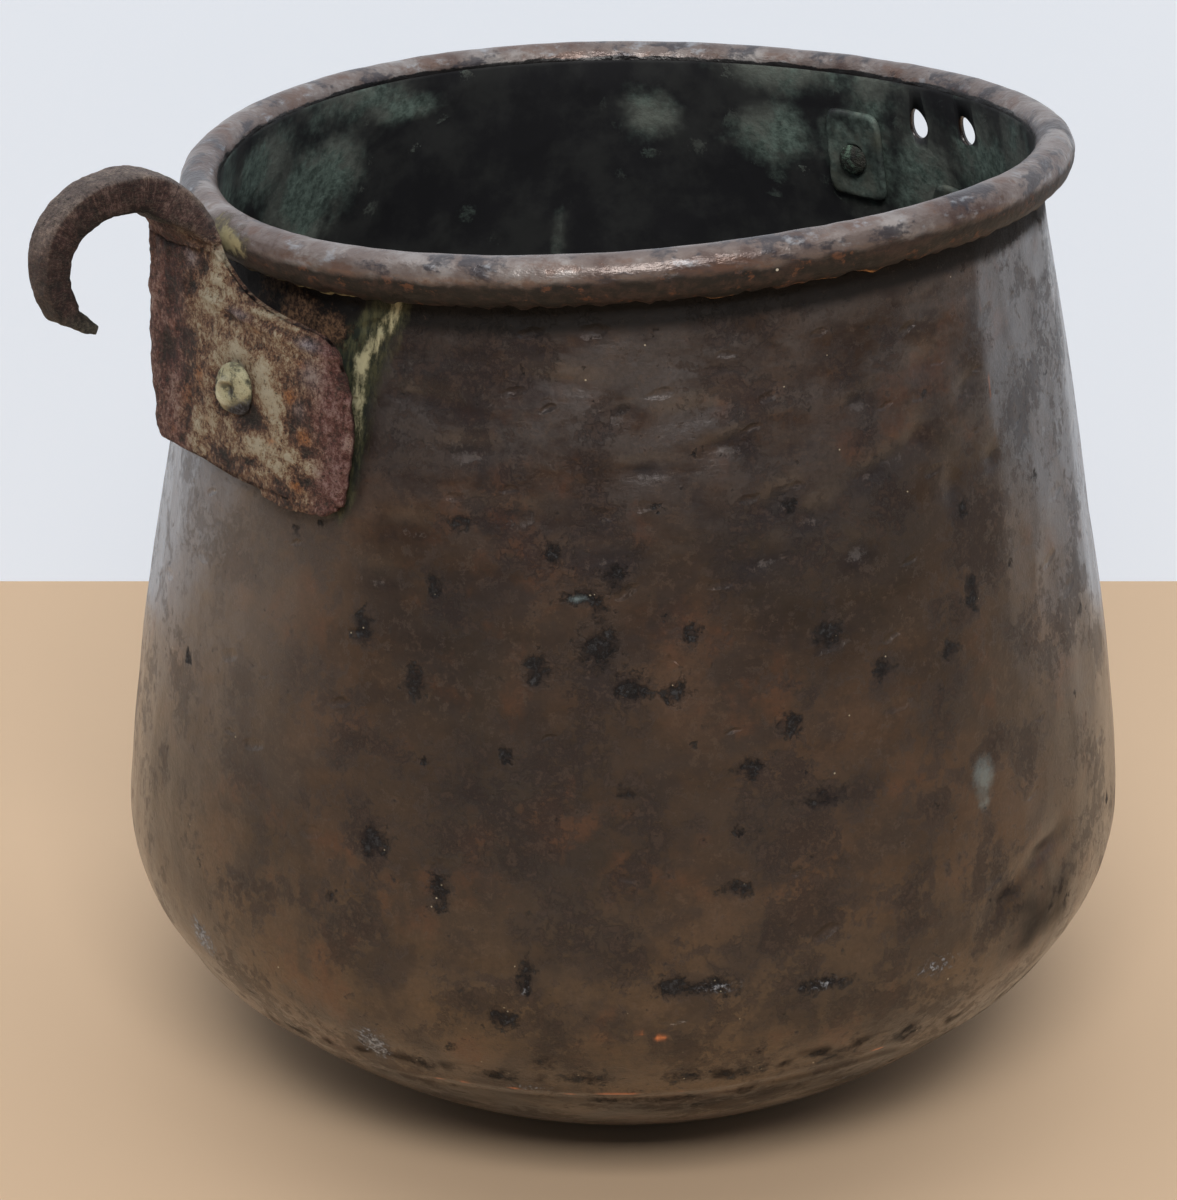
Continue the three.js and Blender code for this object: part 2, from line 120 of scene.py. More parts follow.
EAR_PURPLE = [
    (23.2, 209, 3, 1.4, 0.9), (24.1, 202.4, 3, 3, 0.6), (-18.2, 219.6, 2, 2.4, 0.8), (0.8, 211, 3, 1, 0.6),
    (20.8, 193.6, 1.6, 2, 0.6),
]

# Rivets: direction, height, shank, head and tail radius with their heights
EAR_RIVET = dict(at=EAR_AT, height=193.5, shank=3.1, head=6.2, head_high=3, tail=5, tail_high=2)
PATCH_RIVET = dict(at=141, height=207, shank=2.2, head=4.6, head_high=1.8, tail=4.2, tail_high=2)
LOST_EAR_RIVET = dict(at=120.8, height=193, shank=3.1, head=6, head_high=2.2, tail=5, tail_high=2)
# The plates inside, with the power that sets how square their corners are
EAR_ROVE = dict(wide=20, high=20, thick=1.5, corner=3, hole=4.4)
PATCH_PLATE = dict(wide=18, high=24, thick=1.6, corner=7, hole=2.8)
LOST_EAR_ROVE = dict(wide=20, high=25, thick=1.6, corner=3, hole=3.7)
# Between two pieces, and between the dressed pieces and the CAD model's box
GAP, BOX_MARGIN = 0.3, 0.02

# Holes punched through the far wall: (direction, height, width, height of the hole)
PUNCHED_HOLES = [(128.3, 219.2, 6.4, 7.8), (116.3, 222, 7.2, 7.4)]

# Places read from the photograph, on the wall: (direction, height, half width, half height)
PITS = [
    (-24, 137.8, 3.2, 4.4), (-3, 149.8, 4.6, 4), (-1.4, 164.8, 3, 2.4), (-3, 157, 2.6, 1.6), (-8.4, 169.8, 1.8, 2.4),
    (-22, 159.4, 2, 2.4), (-10, 143.5, 3, 4.4), (0.4, 140.7, 4, 3), (5, 139.5, 3.4, 3), (7, 152.4, 2.6, 2.6),
    (17.6, 130.5, 4, 2.4), (0, 117.5, 3, 1.6), (11.6, 94.8, 4.4, 2), (-19.4, 174.4, 3, 1.6), (13, 122, 3.4, 2.2),
    (-13, 62.7, 4.6, 3), (-10.5, 74, 2, 5), (-28, 100, 4, 4), (-31, 147.6, 3, 3.6), (21.3, 113, 5, 2.4),
    (22.5, 149.3, 4.4, 3), (-20, 91.4, 3, 5), (29.2, 139.7, 3.4, 2.4), (38.4, 139, 3, 3), (42.4, 150.6, 2.4, 4),
    (-5.2, 160.3, 4.4, 2), (8, 72, 8, 2), (4.6, 72.6, 4, 3), (21, 69, 7, 1.8),
]
CREASE_BLOTS = [
    (-14, 43.5, 6, 3.4), (-4.5, 45.5, 7, 3.4), (6, 46, 6, 4), (13, 45.5, 7, 3.4), (24, 47, 7, 3), (33, 46.5, 6, 3),
    (-2, 35.5, 4, 2), (6, 35.5, 8, 2), (14.5, 37, 4, 2), (-9, 51, 3, 3), (-24, 44, 6, 2.4),
]
BLUE_GREY = [(-5.6, 160.1, 3, 1.3), (42.2, 107.8, 5, 7), (42.2, 101.5, 3, 3)]
LIME_CRUST = [(-29.1, 47, 4.6, 5.4), (-54.5, 57.4, 5, 5)]
LIME_GRAINS = [
    (9.5, 71.8, 6, 1.8), (21, 69, 6, 1.6), (35, 66, 7, 3), (30, 30, 5, 1.4), (-11, 40.5, 6, 1.2),
    (-10.5, 70.6, 1.4, 1.4),
]
BRIGHT_COPPER = [
    (3.5, 59.3, 4, 1.4), (1.5, 62, 2, 1), (8, 107, 5, 5), (-6, 118, 3, 8), (4.6, 125, 6, 3),
    (-15, 176, 7, 6), (-75, 120, 6, 14), (30, 112, 6, 5), (-2, 66, 7, 7),
]
COPPER_NICKS = [
    (3.5, 59.3, 2.6, 2.2), (1.3, 60.8, 1.8, 1.4), (-6.5, 38.8, 3.4, 1), (-13, 39.6, 3, 1), (-19, 39.2, 3, 0.9),
]
# Painted shade in the low dents and hollow at the right
LOW_RIGHT_DENTS = [(46, 76.5, 7, 3), (53, 83, 8, 2.4), (52, 68, 22, 16)]
RIGHT_SHADE = [(35, 172, 24, 34)]
RUST_BY_EAR = [(-46, 212, 8, 6), (-40, 210, 6, 4), (-52, 218, 6, 6)]
VERDIGRIS_INSIDE = [
    (-134, 222, 22, 6), (-144, 219, 14, 5), (-112, 214, 24, 12), (-124, 198, 18, 18), (-132, 206, 12, 12),
    (-95, 205, 24, 24), (176, 212, 9, 7), (-171, 178, 3, 6), (152, 226, 24, 3), (136, 226, 16, 4),
    (156, 209, 13, 10), (141, 207, 14, 16), (128, 204, 14, 18), (112, 214, 18, 16), (96, 218, 20, 16),
]
# The green strip beside the ear: (height, direction, half width in degrees)
GREEN_STRIP = [
    (172, -35.1, 0.9), (178.5, -34.6, 1.0), (187.5, -33.7, 1.2), (196, -34.4, 1.6), (205, -34, 2.6),
    (211, -32.4, 2.4), (216.5, -30.4, 1.7), (222, -29.6, 1.5),
]
# Long shallow blows: (direction, height, half length, half height, tilt in degrees, depth)
BLOWS = [
    (-24.5, 199.5, 9, 2.2, 4, 0.5), (-19, 190, 7, 2, -3, 0.45), (-8, 206, 10, 2.4, 2, 0.4), (8, 200, 9, 2.6, -10, 0.5),
    (11, 193, 6, 1.7, -14, 0.55), (17.5, 181, 5, 1.6, -22, 0.6), (22, 177, 5, 1.5, -20, 0.55),
    (28, 199, 5, 1.4, -22, 0.5), (31, 185, 9, 1.6, -16, 0.6), (26.5, 167, 5, 1.5, -12, 0.4),
    (-13, 178, 8, 1.8, 2, 0.35), (-26, 172, 6, 1.5, 0, 0.3), (36, 190, 2, 3, 0, 0.5), (2, 188, 8, 2, -4, 0.35),
    (-36, 190, 5, 1.8, 6, 0.35), (15, 168, 6, 1.8, -12, 0.35), (41, 176, 3, 5, 0, 0.5), (-30, 160, 6, 1.6, 0, 0.25),
    (38, 204, 4, 3, 0, 0.5), (-3, 170, 7, 1.6, 0, 0.25), (45, 76, 10, 3.4, -32, 0.9), (53, 83, 9, 3, -16, 0.8),
    (44.5, 196, 4, 1.4, -34, 0.5), (48, 179, 2.4, 2, 0, 0.5), (-1, 200, 4, 1.4, -6, 0.3),
]
BLOW_DEPTH = 1.6
SHARP_BLOW = 2.1
# The crease between wall and base wanders: (direction, height)
CREASE = [
    (-70, 37), (-46.9, 34.4), (-38.5, 33.9), (-21, 38.4), (-7.6, 38.8), (8.6, 39.4), (20, 42), (31.8, 43.4), (40, 39),
    (50, 35.6), (75, 37),
]
# Flat facets at the sides, beaten in from the rim down: (middle direction, half width, depth)
FACETS = [(60, 11, 1.1), (82, 11, 0.7), (104, 11, 0.5), (-76, 10, 0.5), (-96, 10, 0.4)]
FACETS_FROM, FACETS_FULL = 112, 142
# How far the roll's lower edge is ragged up and down
LIP_RAGGED = 1.9


# ---- soft edges and noise ----

def fade(value, start, stop):
    """0 at start and before it, 1 at stop and after it."""
    return np.clip((value - start) / (stop - start), 0, 1)


def hump(*offsets):
    """1 where every offset is 0, falling off smoothly."""
    return np.exp(-sum(offset ** 2 for offset in offsets))


def wobble(points, size, seed=0.0):
    """Smooth noise from -1 to 1 at points in millimetres, with lumps of about the given size."""
    shift = Vector((seed * 7.3, seed * 3.1, seed * 5.7))
    return np.array([noise.noise(Vector(p) / size + shift) for p in points])


def smooth_through(points, count):
    """Points on a smooth curve through the given ones, evenly spaced by number."""
    points = np.array(points, float)
    last = len(points) - 1
    place = np.linspace(0, last, count)
    at = np.minimum(place.astype(int), last - 1)
    share = (place - at)[:, None]
    before, start, end, after = (points[np.clip(at + step, 0, last)] for step in (-1, 0, 1, 2))
    leave, arrive = (end - before) / 2, (after - start) / 2
    curve = (2 * start - 2 * end + leave + arrive) * share ** 3
    return curve + (3 * end - 3 * start - 2 * leave - arrive) * share ** 2 + leave * share + start


# ---- where things are on the pot ----

WALL_LINE = smooth_through(WALL, 400)


def rim_rise(turn):
    """How much higher the rim is at a direction, in radians."""
    return RIM_UP_FRONT * np.cos(turn) + RIM_UP_RIGHT * np.sin(turn) + RIM_UP_TWIST * np.sin(2 * turn)


def rim_spread(turn):
    """How much further out the rim is at a direction, in radians."""
    oval = MOUTH_OVAL * np.cos(2 * (turn - math.radians(MOUTH_OVAL_AT)))
    return MOUTH_FORWARD * np.cos(turn) + oval + MOUTH_THREE_SIDED * np.cos(3 * turn)


def wall_radius(turn, height):
    """Outside radius of the out-of-true wall at a direction, in radians, and a height."""
    true_height = height / (1 + rim_rise(turn) / RIM_HEIGHT)
    radius = np.interp(true_height, WALL_LINE[:, 0], WALL_LINE[:, 1])
    return radius + (true_height / RIM_HEIGHT) ** 2 * rim_spread(turn)


def on_wall(turn, height, outward):
    """A point at a direction in radians, a height and a distance out of the wall."""
    radius = wall_radius(turn, height) + outward
    return np.stack([radius * np.sin(turn), -radius * np.cos(turn), height + 0 * radius], -1)


def angle_apart(turn, degrees):
    """Signed degrees from a direction to each point's direction."""
    return (np.degrees(turn) - degrees + 180) % 360 - 180


def along_wall(turn, at, height):
    """Millimetres along the wall from a place on it to each point."""
    return np.radians(angle_apart(turn, at)) * wall_radius(math.radians(at), height)


def spots(turn, height, places):
    """Soft oval spots on the wall."""
    return np.maximum.reduce([
        hump(along_wall(turn, at, middle) / wide, (height - middle) / high) for at, middle, wide, high in places])


def band(turn, start, stop, soft):
    """1 between two directions, fading over a few degrees."""
    middle, half = (start + stop) / 2, (stop - start) / 2
    return np.clip((half - np.abs(angle_apart(turn, middle))) / soft + 0.5, 0, 1)


# ---- meshes ----

def read(items, name, size=1, kind=float):
    """The values of every item of a part of a mesh, in rows when there are several to an item."""
    flat = np.empty(len(items) * size, kind)
    items.foreach_get(name, flat)
    return flat.reshape(-1, size) if size > 1 else flat


def points_of(mesh):
    return read(mesh.vertices, "co", 3) / MM


def set_points(mesh, points):
    mesh.vertices.foreach_set("co", (points * MM).ravel())
    mesh.update()


def within(points):
    """Points held just inside the box of the CAD model."""
    low, high = np.array(cad_box) / MM
    return np.clip(points, low + BOX_MARGIN * (low < 0), high - BOX_MARGIN)


def mesh_of(name, points, faces):
    """A smooth mesh from points in millimetres."""
    mesh = bpy.data.meshes.new(name)
    mesh.from_pydata([tuple(p) for p in np.asarray(points) * MM], [], faces)
    mesh.validate()
    mesh.shade_smooth()
    return mesh


def ring_faces(rows, columns, closed_rows=False):
    """Faces between rows of points whose columns close on themselves."""
    corners = ((0, 0), (0, 1), (1, 1), (1, 0))
    return [
        tuple((row + up) % rows * columns + (column + side) % columns for up, side in corners)
        for row in range(rows if closed_rows else rows - 1) for column in range(columns)
    ]


def turned_out(mesh):
    """Makes sure that a closed mesh's faces point out."""
    work = bmesh.new()
    work.from_mesh(mesh)
    bmesh.ops.recalc_face_normals(work, faces=work.faces)
    work.to_mesh(mesh)
    work.free()
    return mesh


def paint(mesh, **masks):
    """Stores masks from 0 to 1 on a mesh's points, for its material."""
    for name, values in masks.items():
        layer = mesh.attributes.new(name, "FLOAT", "POINT")
        layer.data.foreach_set("value", np.clip(values, 0, 1).astype(np.float32))


def new_object(name, data):
    made = bpy.data.objects.new(name, data)
    bpy.context.collection.objects.link(made)
    return made


def add_piece(name, mesh, materials):
    """Puts a finished mesh in the scene as a piece that rides on the pot."""
    piece = new_object(name, turned_out(mesh))
    for place, material in enumerate(materials):
        if place < len(mesh.materials):
            mesh.materials[place] = material
        else:
            mesh.materials.append(material)
    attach(piece, "root")
    return piece


# ---- node trees: short ways to write them ----

class Wire:
    """An output of a node; arithmetic on it adds Math nodes to its tree."""

    def __init__(self, socket):
        self.socket = socket

    def math(self, operation, *others):
        return out(add("ShaderNodeMath", dict(enumerate((self, *others))), operation=operation))

    def __add__(self, other):
        return self.math("ADD", other)

    def __sub__(self, other):
        return self.math("SUBTRACT", other)

    def __mul__(self, other):
        return self.math("MULTIPLY", other)

    def __truediv__(self, other):
        return self.math("DIVIDE", other)

    def between(self, low, high):
        """0 below low, 1 above high, smooth between."""
        inputs = {"Value": self, "From Min": low, "From Max": high}
        return out(add("ShaderNodeMapRange", inputs, interpolation_type="SMOOTHSTEP"))

    def flipped(self):
        return self.math("MULTIPLY_ADD", -1.0, 1.0)


def srgb(red, green, blue):
    """A colour as linear numbers from its 0 to 255 values."""
    return tuple((c / 255 / 12.92) if c < 10.3 else ((c / 255 + 0.055) / 1.055) ** 2.4 for c in (red, green, blue))


def plug(value, socket):
    """Links an output to a socket, or writes a value into it; a colour is given by its 0 to 255 values."""
    if isinstance(value, Wire):
        socket.id_data.links.new(value.socket, socket)
    elif socket.type == "RGBA":
        socket.default_value = (*srgb(*value), 1)
    else:
        socket.default_value = value


def add(kind, inputs, **settings):
    """A node with its settings, in the tree that its inputs come from."""
    tree = next(value.socket.id_data for value in inputs.values() if isinstance(value, Wire))
    node = tree.nodes.new(kind)
    for name, value in settings.items():
        setattr(node, name, value)
    for name, value in inputs.items():
        plug(value, node.inputs[name])
    return node


def out(node, name=0):
    return Wire(node.outputs[name])


def mix(share, first, second):
    """A colour between two colours."""
    return out(add("ShaderNodeMix", {0: share, 6: first, 7: second}, data_type="RGBA"), 2)


def ramp(share, *stops):
    """A colour from a line of stops, each a place and a colour."""
    node = add("ShaderNodeValToRGB", {0: share})
    steps = node.color_ramp.elements
    while len(steps) < len(stops):
        steps.new(0.5)
    for step, (at, *colour) in zip(steps, stops):
        step.position = at
        step.color = (*srgb(*colour), 1)
    return out(node)


def vector_math(operation, *values, result=0, **named):
    return out(add("ShaderNodeVectorMath", {**dict(enumerate(values)), **named}, operation=operation), result)


def noise_at(vector, scale, detail=4.0, rough=0.55, distortion=0.0, result="Fac"):
    inputs = {"Vector": vector, "Scale": scale, "Detail": detail, "Roughness": rough, "Distortion": distortion}
    return out(add("ShaderNodeTexNoise", inputs), result)


def cells_at(vector, scale):
    """Voronoi cells: the node, and three chances for each cell."""
    cells = add("ShaderNodeTexVoronoi", {"Vector": vector, "Scale": scale})
    chances = add("ShaderNodeSeparateXYZ", {"Vector": out(cells, "Color")})
    return cells, [out(chances, axis) for axis in "XYZ"]


def bent(vector, scale, detail, rough, reach):
    """A vector to add to places, so that round forms come out uneven."""
    away = vector_math("SUBTRACT", noise_at(vector, scale, detail, rough, result="Color"), (0.5, 0.5, 0.5))
    return vector_math("SCALE", away, Scale=reach)


def stretched(vector, *scale):
    return out(add("ShaderNodeMapping", {"Vector": vector, "Scale": scale}))


def new_group(name, kind, outputs, inputs):
    """A node group; returns its tree, its inputs by name and its output node. Each input is given by
    its first value or, when it has none, by its kind."""
    tree = bpy.data.node_groups.new(name, kind)
    for label, value in inputs.items():
        kind = value if isinstance(value, str) else {int: "Int", float: "Float", tuple: "Color"}[type(value)]
        socket = tree.interface.new_socket(label, in_out="INPUT", socket_type="NodeSocket" + kind)
        if kind != value:
            socket.default_value = (*srgb(*value), 1) if kind == "Color" else value
    for label, kind in outputs.items():
        tree.interface.new_socket(label, in_out="OUTPUT", socket_type="NodeSocket" + kind)
    start, end = (tree.nodes.new("NodeGroup" + side) for side in ("Input", "Output"))
    return tree, {label: out(start, label) for label in inputs}, end


def lay_out(tree):
    """Sets the nodes out from left to right, so that the tree can be read."""
    depth = dict.fromkeys(tree.nodes, 0)
    moved = True
    while moved:
        moved = False
        for link in tree.links:
            if depth[link.to_node] < depth[link.from_node] + 1:
                depth[link.to_node] = depth[link.from_node] + 1
                moved = True
    filled = {}
    for node, place in depth.items():
        node.location = (place * 220, -filled.get(place, 0) * 190)
        filled[place] = filled.get(place, 0) + 1


def shader_group(name, outputs, **inputs):
    """Makes a shader node group of the function below it, which gets the inputs and returns the outputs."""
    def make(effect):
        kinds = {label: "Color" if label == "Color" else "Float" for label in outputs.split()}
        tree, given, end = new_group(name, "ShaderNodeTree", kinds, inputs)
        for label, value in zip(kinds, effect(*given.values())):
            plug(value, end.inputs[label])
        lay_out(tree)
        return tree
    return make


def use(group, **inputs):
    """Places a node group with its own values."""
    return add("ShaderNodeGroup", inputs, node_tree=group, label=group.name)


class Look:
    """A material in the making: its Principled shader, its Object coordinates and its colour so far."""

    def __init__(self, name):
        self.material = bpy.data.materials.new(name)
        self.material.use_nodes = True
        self.tree = self.material.node_tree
        self.shader = self.tree.nodes["Principled BSDF"]
        self.place = out(self.tree.nodes.new("ShaderNodeTexCoord"), "Object")

    def painted(self, name):
        node = self.tree.nodes.new("ShaderNodeAttribute")
        node.attribute_name = name
        return out(node, "Fac")

    def cover(self, share, colour):
        """Lays a colour over the colour so far."""
        self.colour = mix(share, self.colour, colour)

    def finish(self, height, **sockets):
        """Fills the shader's sockets, with a bump from heights in millimetres."""
        bump = add("ShaderNodeBump", {"Height": height, "Distance": MM, "Strength": 1.0})
        for name, value in dict(sockets, Base_Color=self.colour, Normal=out(bump)).items():
            plug(value, self.shader.inputs[name.replace("_", " ")])
        lay_out(self.tree)
        return self.material


# ---- shared effects ----

@shader_group("mottled patina", "Color Value", Vector="Vector", Scale=30.0, Dark=(0, 0, 0), Middle=(0, 0, 0),
              Light=(0, 0, 0))
def MOTTLE(vector, scale, dark, middle, light):
    """Soft patches of three tones, one inside the other, down to fine grain."""
    value = noise_at(vector, scale, 8, 0.64, 0.15)
    colour = mix(value.between(0.36, 0.5), dark, middle)
    return mix(value.between(0.5, 0.66), colour, light), value


@shader_group("corrosion pits", "Mask Fringe Height", Vector="Vector", Painted=0.0, Scale=340.0)
def PIT(vector, painted, scale):
    """Corroded pits with a soft broken fringe, where they are painted."""
    ragged = noise_at(vector, scale, 6, 0.75, 0.2) - 0.5
    core = (painted + ragged * 4.0).between(0.5, 0.95)
    fringe = (painted * 1.2 + ragged * 2.2).between(0.2, 1.0)
    return core, fringe, core * -0.7 - fringe * 0.7


@shader_group("scattered stains", "Mask", Vector="Vector", Scale=60.0, Size=0.002, Share=0.3)
def STAIN(vector, scale, size, share):
    """Soft round stains, each with its own size and strength, in a share of the cells. The size is in metres."""
    moved = vector_math("ADD", vector, bent(vector, scale * 6.0, 3.0, 0.7, size * 2.2))
    cells, (chance, grown, strength) = cells_at(moved, scale)
    mask = (out(cells, "Distance") / (size * scale * (grown + 0.4))).between(1.0, 0.3)
    return [mask * chance.math("LESS_THAN", share) * (strength * 0.7 + 0.3)]


@shader_group("oval dents", "Height", Vector="Vector", Scale=80.0, Long=0.004, High=0.0012, Lean=0.2, Share=0.5)
def DENT(vector, scale, long, high, lean, share):
    """Small oval blows along the wall, each with its own size and lean. Their half sizes are in metres."""
    cells, (tilt, grown, chance) = cells_at(vector, scale)
    away = vector_math("SUBTRACT", vector, out(cells, "Position"))
    away = vector_math("ADD", away, bent(vector, scale * 5.0, 3.0, 0.6, high * 1.1))
    side = vector_math("NORMALIZE", vector_math("CROSS_PRODUCT", (0.0, 0.0, 1.0), vector))
    across = vector_math("DOT_PRODUCT", away, side, result="Value")
    up = out(add("ShaderNodeSeparateXYZ", {"Vector": away}), "Z")
    lean = lean + (tilt - 0.5) * 0.5
    size = grown * 0.8 + 0.4
    length = (across + up * lean) / (long * size)
    breadth = (up - across * lean) / (high * size)
    bowl = (length * length + breadth * breadth).between(1.0, -0.2) * (tilt * 0.8 + 0.2)
    return [bowl * chance.math("LESS_THAN", share) * -1.0]


@shader_group("mineral specks", "Mask", Vector="Vector", Scale=260.0, Share=0.2)
def SPECK(vector, scale, share):
    """Tiny bright specks."""
    cells = add("ShaderNodeTexVoronoi", {"Vector": vector, "Scale": scale})
    return [out(cells, "Distance").between(0.17, 0.09) * out(cells, "Color").math("LESS_THAN", share)]


@shader_group("verdigris", "Color Mask Height", Vector="Vector", Scale=40.0, Amount=0.5, Deep=(34, 52, 46),
              Pale=(96, 128, 112))
def VERDIGRIS(vector, scale, amount, deep, pale):
    """Powdery green that gathers in patches."""
    powder = noise_at(vector, scale * 11.0, 4, 0.7)
    limit = amount.math("MULTIPLY_ADD", -0.5, 0.8)
    mask = noise_at(vector, scale, 8, 0.66, 0.1).between(limit, limit + 0.2)
    return mix((powder * 0.6 + mask * 0.4).between(0.4, 0.75), deep, pale), mask, mask * powder


@shader_group("mineral crust", "Color Mask Height", Vector="Vector", Painted=0.0, Scale=260.0, Cream=(196, 178, 146),
              Ochre=(140, 104, 70))
def CRUST(vector, painted, scale, cream, ochre):
    """Pale mineral crust that breaks up at its edge."""
    ragged = noise_at(vector, scale, 7, 0.78, 0.1)
    mask = (painted * 0.9 + ragged * 0.9).between(0.78, 1.08)
    return mix((ragged * 0.7 + mask * 0.3).between(0.36, 0.72), ochre, cream), mask, mask * (ragged + 0.4)


@shader_group("hammer marks", "Height", Vector="Vector", Scale=120.0, Soft=0.3)
def HAMMER(vector, scale, soft):
    """Overlapping planishing blows, each a shallow bowl with a soft edge to the next."""
    inputs = {"Vector": vector, "Scale": scale, "Smoothness": soft}
    bowl = out(add("ShaderNodeTexVoronoi", inputs, feature="SMOOTH_F1"), "Distance")
    return [bowl * bowl]


# ---- materials ----

def worn_sheet():
    """The outside of the pot: satin brown patina, greyer high up, stained, dented and rubbed bright in places, with
    painted shadow, shade, sheen and highlights.
    """
    look = Look("brown_patina")
    place, painted, cover = look.place, look.painted, look.cover
    cool, low, rubbed, lime, pitted = (painted(name) for name in ("cool", "low", "bare", "lime", "pits"))
    grain = noise_at(place, 800.0, 5, 0.8)
    patch = noise_at(place, 85.0, 6, 0.62, 0.1)
    smear = noise_at(stretched(place, 1.0, 1.0, 2.4), 46.0, 5, 0.6, 0.2)
    orange = noise_at(place, 34.0, 6, 0.68, 0.1)
    blotch = noise_at(place, 56.0, 2, 0.5)
    ragged = noise_at(place, 330.0, 6, 0.78, 0.1)

    # Brown mottle, lighter towards the base, with a grey film high up and a grey painted sheen at the sides
    mottle = use(MOTTLE, Vector=place, Scale=21.0, Dark=(33, 24, 21), Middle=(52, 37, 28), Light=(74, 52, 37))
    tone = out(mottle, "Value")
    low_colour = mix((tone * 0.5 + patch * 0.5).between(0.38, 0.62), (58, 44, 33), (102, 81, 57))
    look.colour = mix(low, out(mottle), low_colour)
    lower = low.between(0.0, 1.0)
    cover(patch.between(0.51, 0.42) * (lower.flipped() * 0.3 + 0.3), mix(lower, (37, 29, 31), (46, 34, 26)))
    cover((smear * 0.75 + patch * 0.25).between(0.38, 0.58) * (cool * 0.85 + 0.12), (82, 77, 76))
    cover((orange * 0.7 + patch * 0.3).between(0.53, 0.64) * 0.45, (98, 60, 39))
    cover(grain.between(0.4, 0.62) * 0.5, mix(0.5, look.colour, (16, 12, 12)))

    # Corrosion, dark blotches with painted shadow and shade, painted sheen at the left, blows with painted shade and
    # highlight, and bare copper
    corroded = (blotch * 0.5 + ragged * 0.6).between(0.56, 0.625)
    cover(corroded * (low.between(1.0, 0.2) * 0.35 + 0.4), (28, 21, 25))
    cover(ragged.between(0.52, 0.6) * 0.25, (98, 80, 68))
    # grime: painted shadow under the rim, painted shade in dents and at the upper right, and dark blotches at the foot
    # and base
    grime = (painted("grime") + smear * 0.5 - 0.25).between(0.3, 0.9)
    cover(grime * 0.95, mix(grime, (26, 22, 22), (7, 6, 7)))
    # Painted sheen on the left side
    cover(painted("haze") * 0.4, (132, 121, 113))
    # Painted shade on the upper side of small blows and a painted highlight on their lower lip
    cover((painted("groove") + (ragged - 0.5) * 3.0).between(0.25, 0.9) * 0.65, (22, 19, 23))
    cover((painted("rubbed_lip") + (ragged - 0.5) * 4.0).between(0.45, 1.0) * 0.35, (116, 112, 112))
    bright = (rubbed * 0.9 + grain * 0.5 + patch * 0.4).between(0.85, 1.3)
    cover(bright * 0.85, mix(rubbed.between(0.65, 0.95), (112, 70, 46), (232, 140, 86)))
    small_pits = use(STAIN, Vector=place, Scale=88.0, Size=0.0021, Share=0.7)
    pits = use(PIT, Vector=place, Painted=pitted.math("MAXIMUM", out(small_pits) * 0.85))
    cover(out(pits, "Fringe") * 0.75, (26, 21, 23))
    cover(out(pits) * 0.85, mix(grain.between(0.46, 0.6), (15, 14, 17), (58, 60, 64)))
    cover((painted("blue") * (patch * 0.8 + grain * 0.8)).between(0.35, 0.85) * 0.75, (118, 134, 138))

    # The green strip beside the ear, rust run from the ear, chalky crust and specks
    upright = noise_at(stretched(place, 1.0, 1.0, 0.3), 520.0, 6, 0.75, 0.2)
    moss = (painted("moss") * 1.2 + upright * 0.8).between(0.75, 1.3)
    cover(moss * 0.85, mix(upright.between(0.4, 0.62), (32, 40, 33), (84, 84, 60)))
    strip = use(CRUST, Vector=stretched(place, 1.0, 1.0, 0.45), Painted=painted("green") * 0.8, Scale=420.0,
                Cream=(194, 188, 152), Ochre=(92, 94, 66))
    cover(out(strip, "Mask") * 0.9, out(strip))
    rust = (painted("rust") + ragged * 2.0 - 1.0).between(0.25, 0.7)
    cover(rust, mix(grain.between(0.42, 0.6), (52, 36, 30), (128, 98, 74)))
    cover((lime + grain * 0.4).between(0.4, 0.9) * 0.6, (38, 36, 42))
    chalk = (noise_at(place, 800.0, 4, 0.7) + lime * 0.18).between(0.58, 0.72) * lime.between(0.1, 0.5)
    cover(chalk * 0.85, (168, 174, 184))
    cover(out(use(SPECK, Vector=place, Scale=640.0, Share=tone * 0.4 + pitted * 0.3 - 0.15)), (176, 168, 148))

    side = painted("side")
    blows = use(HAMMER, Vector=stretched(place, 1.0, 1.0, 0.5), Scale=92.0, Soft=0.35)
    small_blows = use(HAMMER, Vector=place, Scale=190.0, Soft=0.2)
    dents = use(DENT, Vector=place, Scale=62.0, Long=0.0046, High=0.0018, Lean=0.2, Share=cool * 0.7 + 0.12)
    height = out(blows) * (side * 1.1 + 0.3) + out(small_blows) * (side.flipped() * 0.22) + out(dents) * 1.1
    height = height + out(pits, "Height") * 0.35 + out(strip, "Height") * 0.6 + chalk * 0.25 - corroded * 0.12
    dull = (out(pits, "Fringe") * 0.9 + rust + corroded * 0.4 + out(strip, "Mask") + chalk + grime).math("MINIMUM", 1.0)
    return look.finish(
        height + grain * 0.14 + smear * 0.5 + patch * 0.35 + rust * ragged * 2.0, Metallic=dull.flipped() * 0.3,
        Roughness=dull * 0.4 + smear * 0.2 + patch * 0.16 + 0.16, Specular_IOR_Level=0.3,
        Coat_Weight=dull.flipped() * 0.6, Coat_IOR=1.6, Coat_Roughness=0.22)


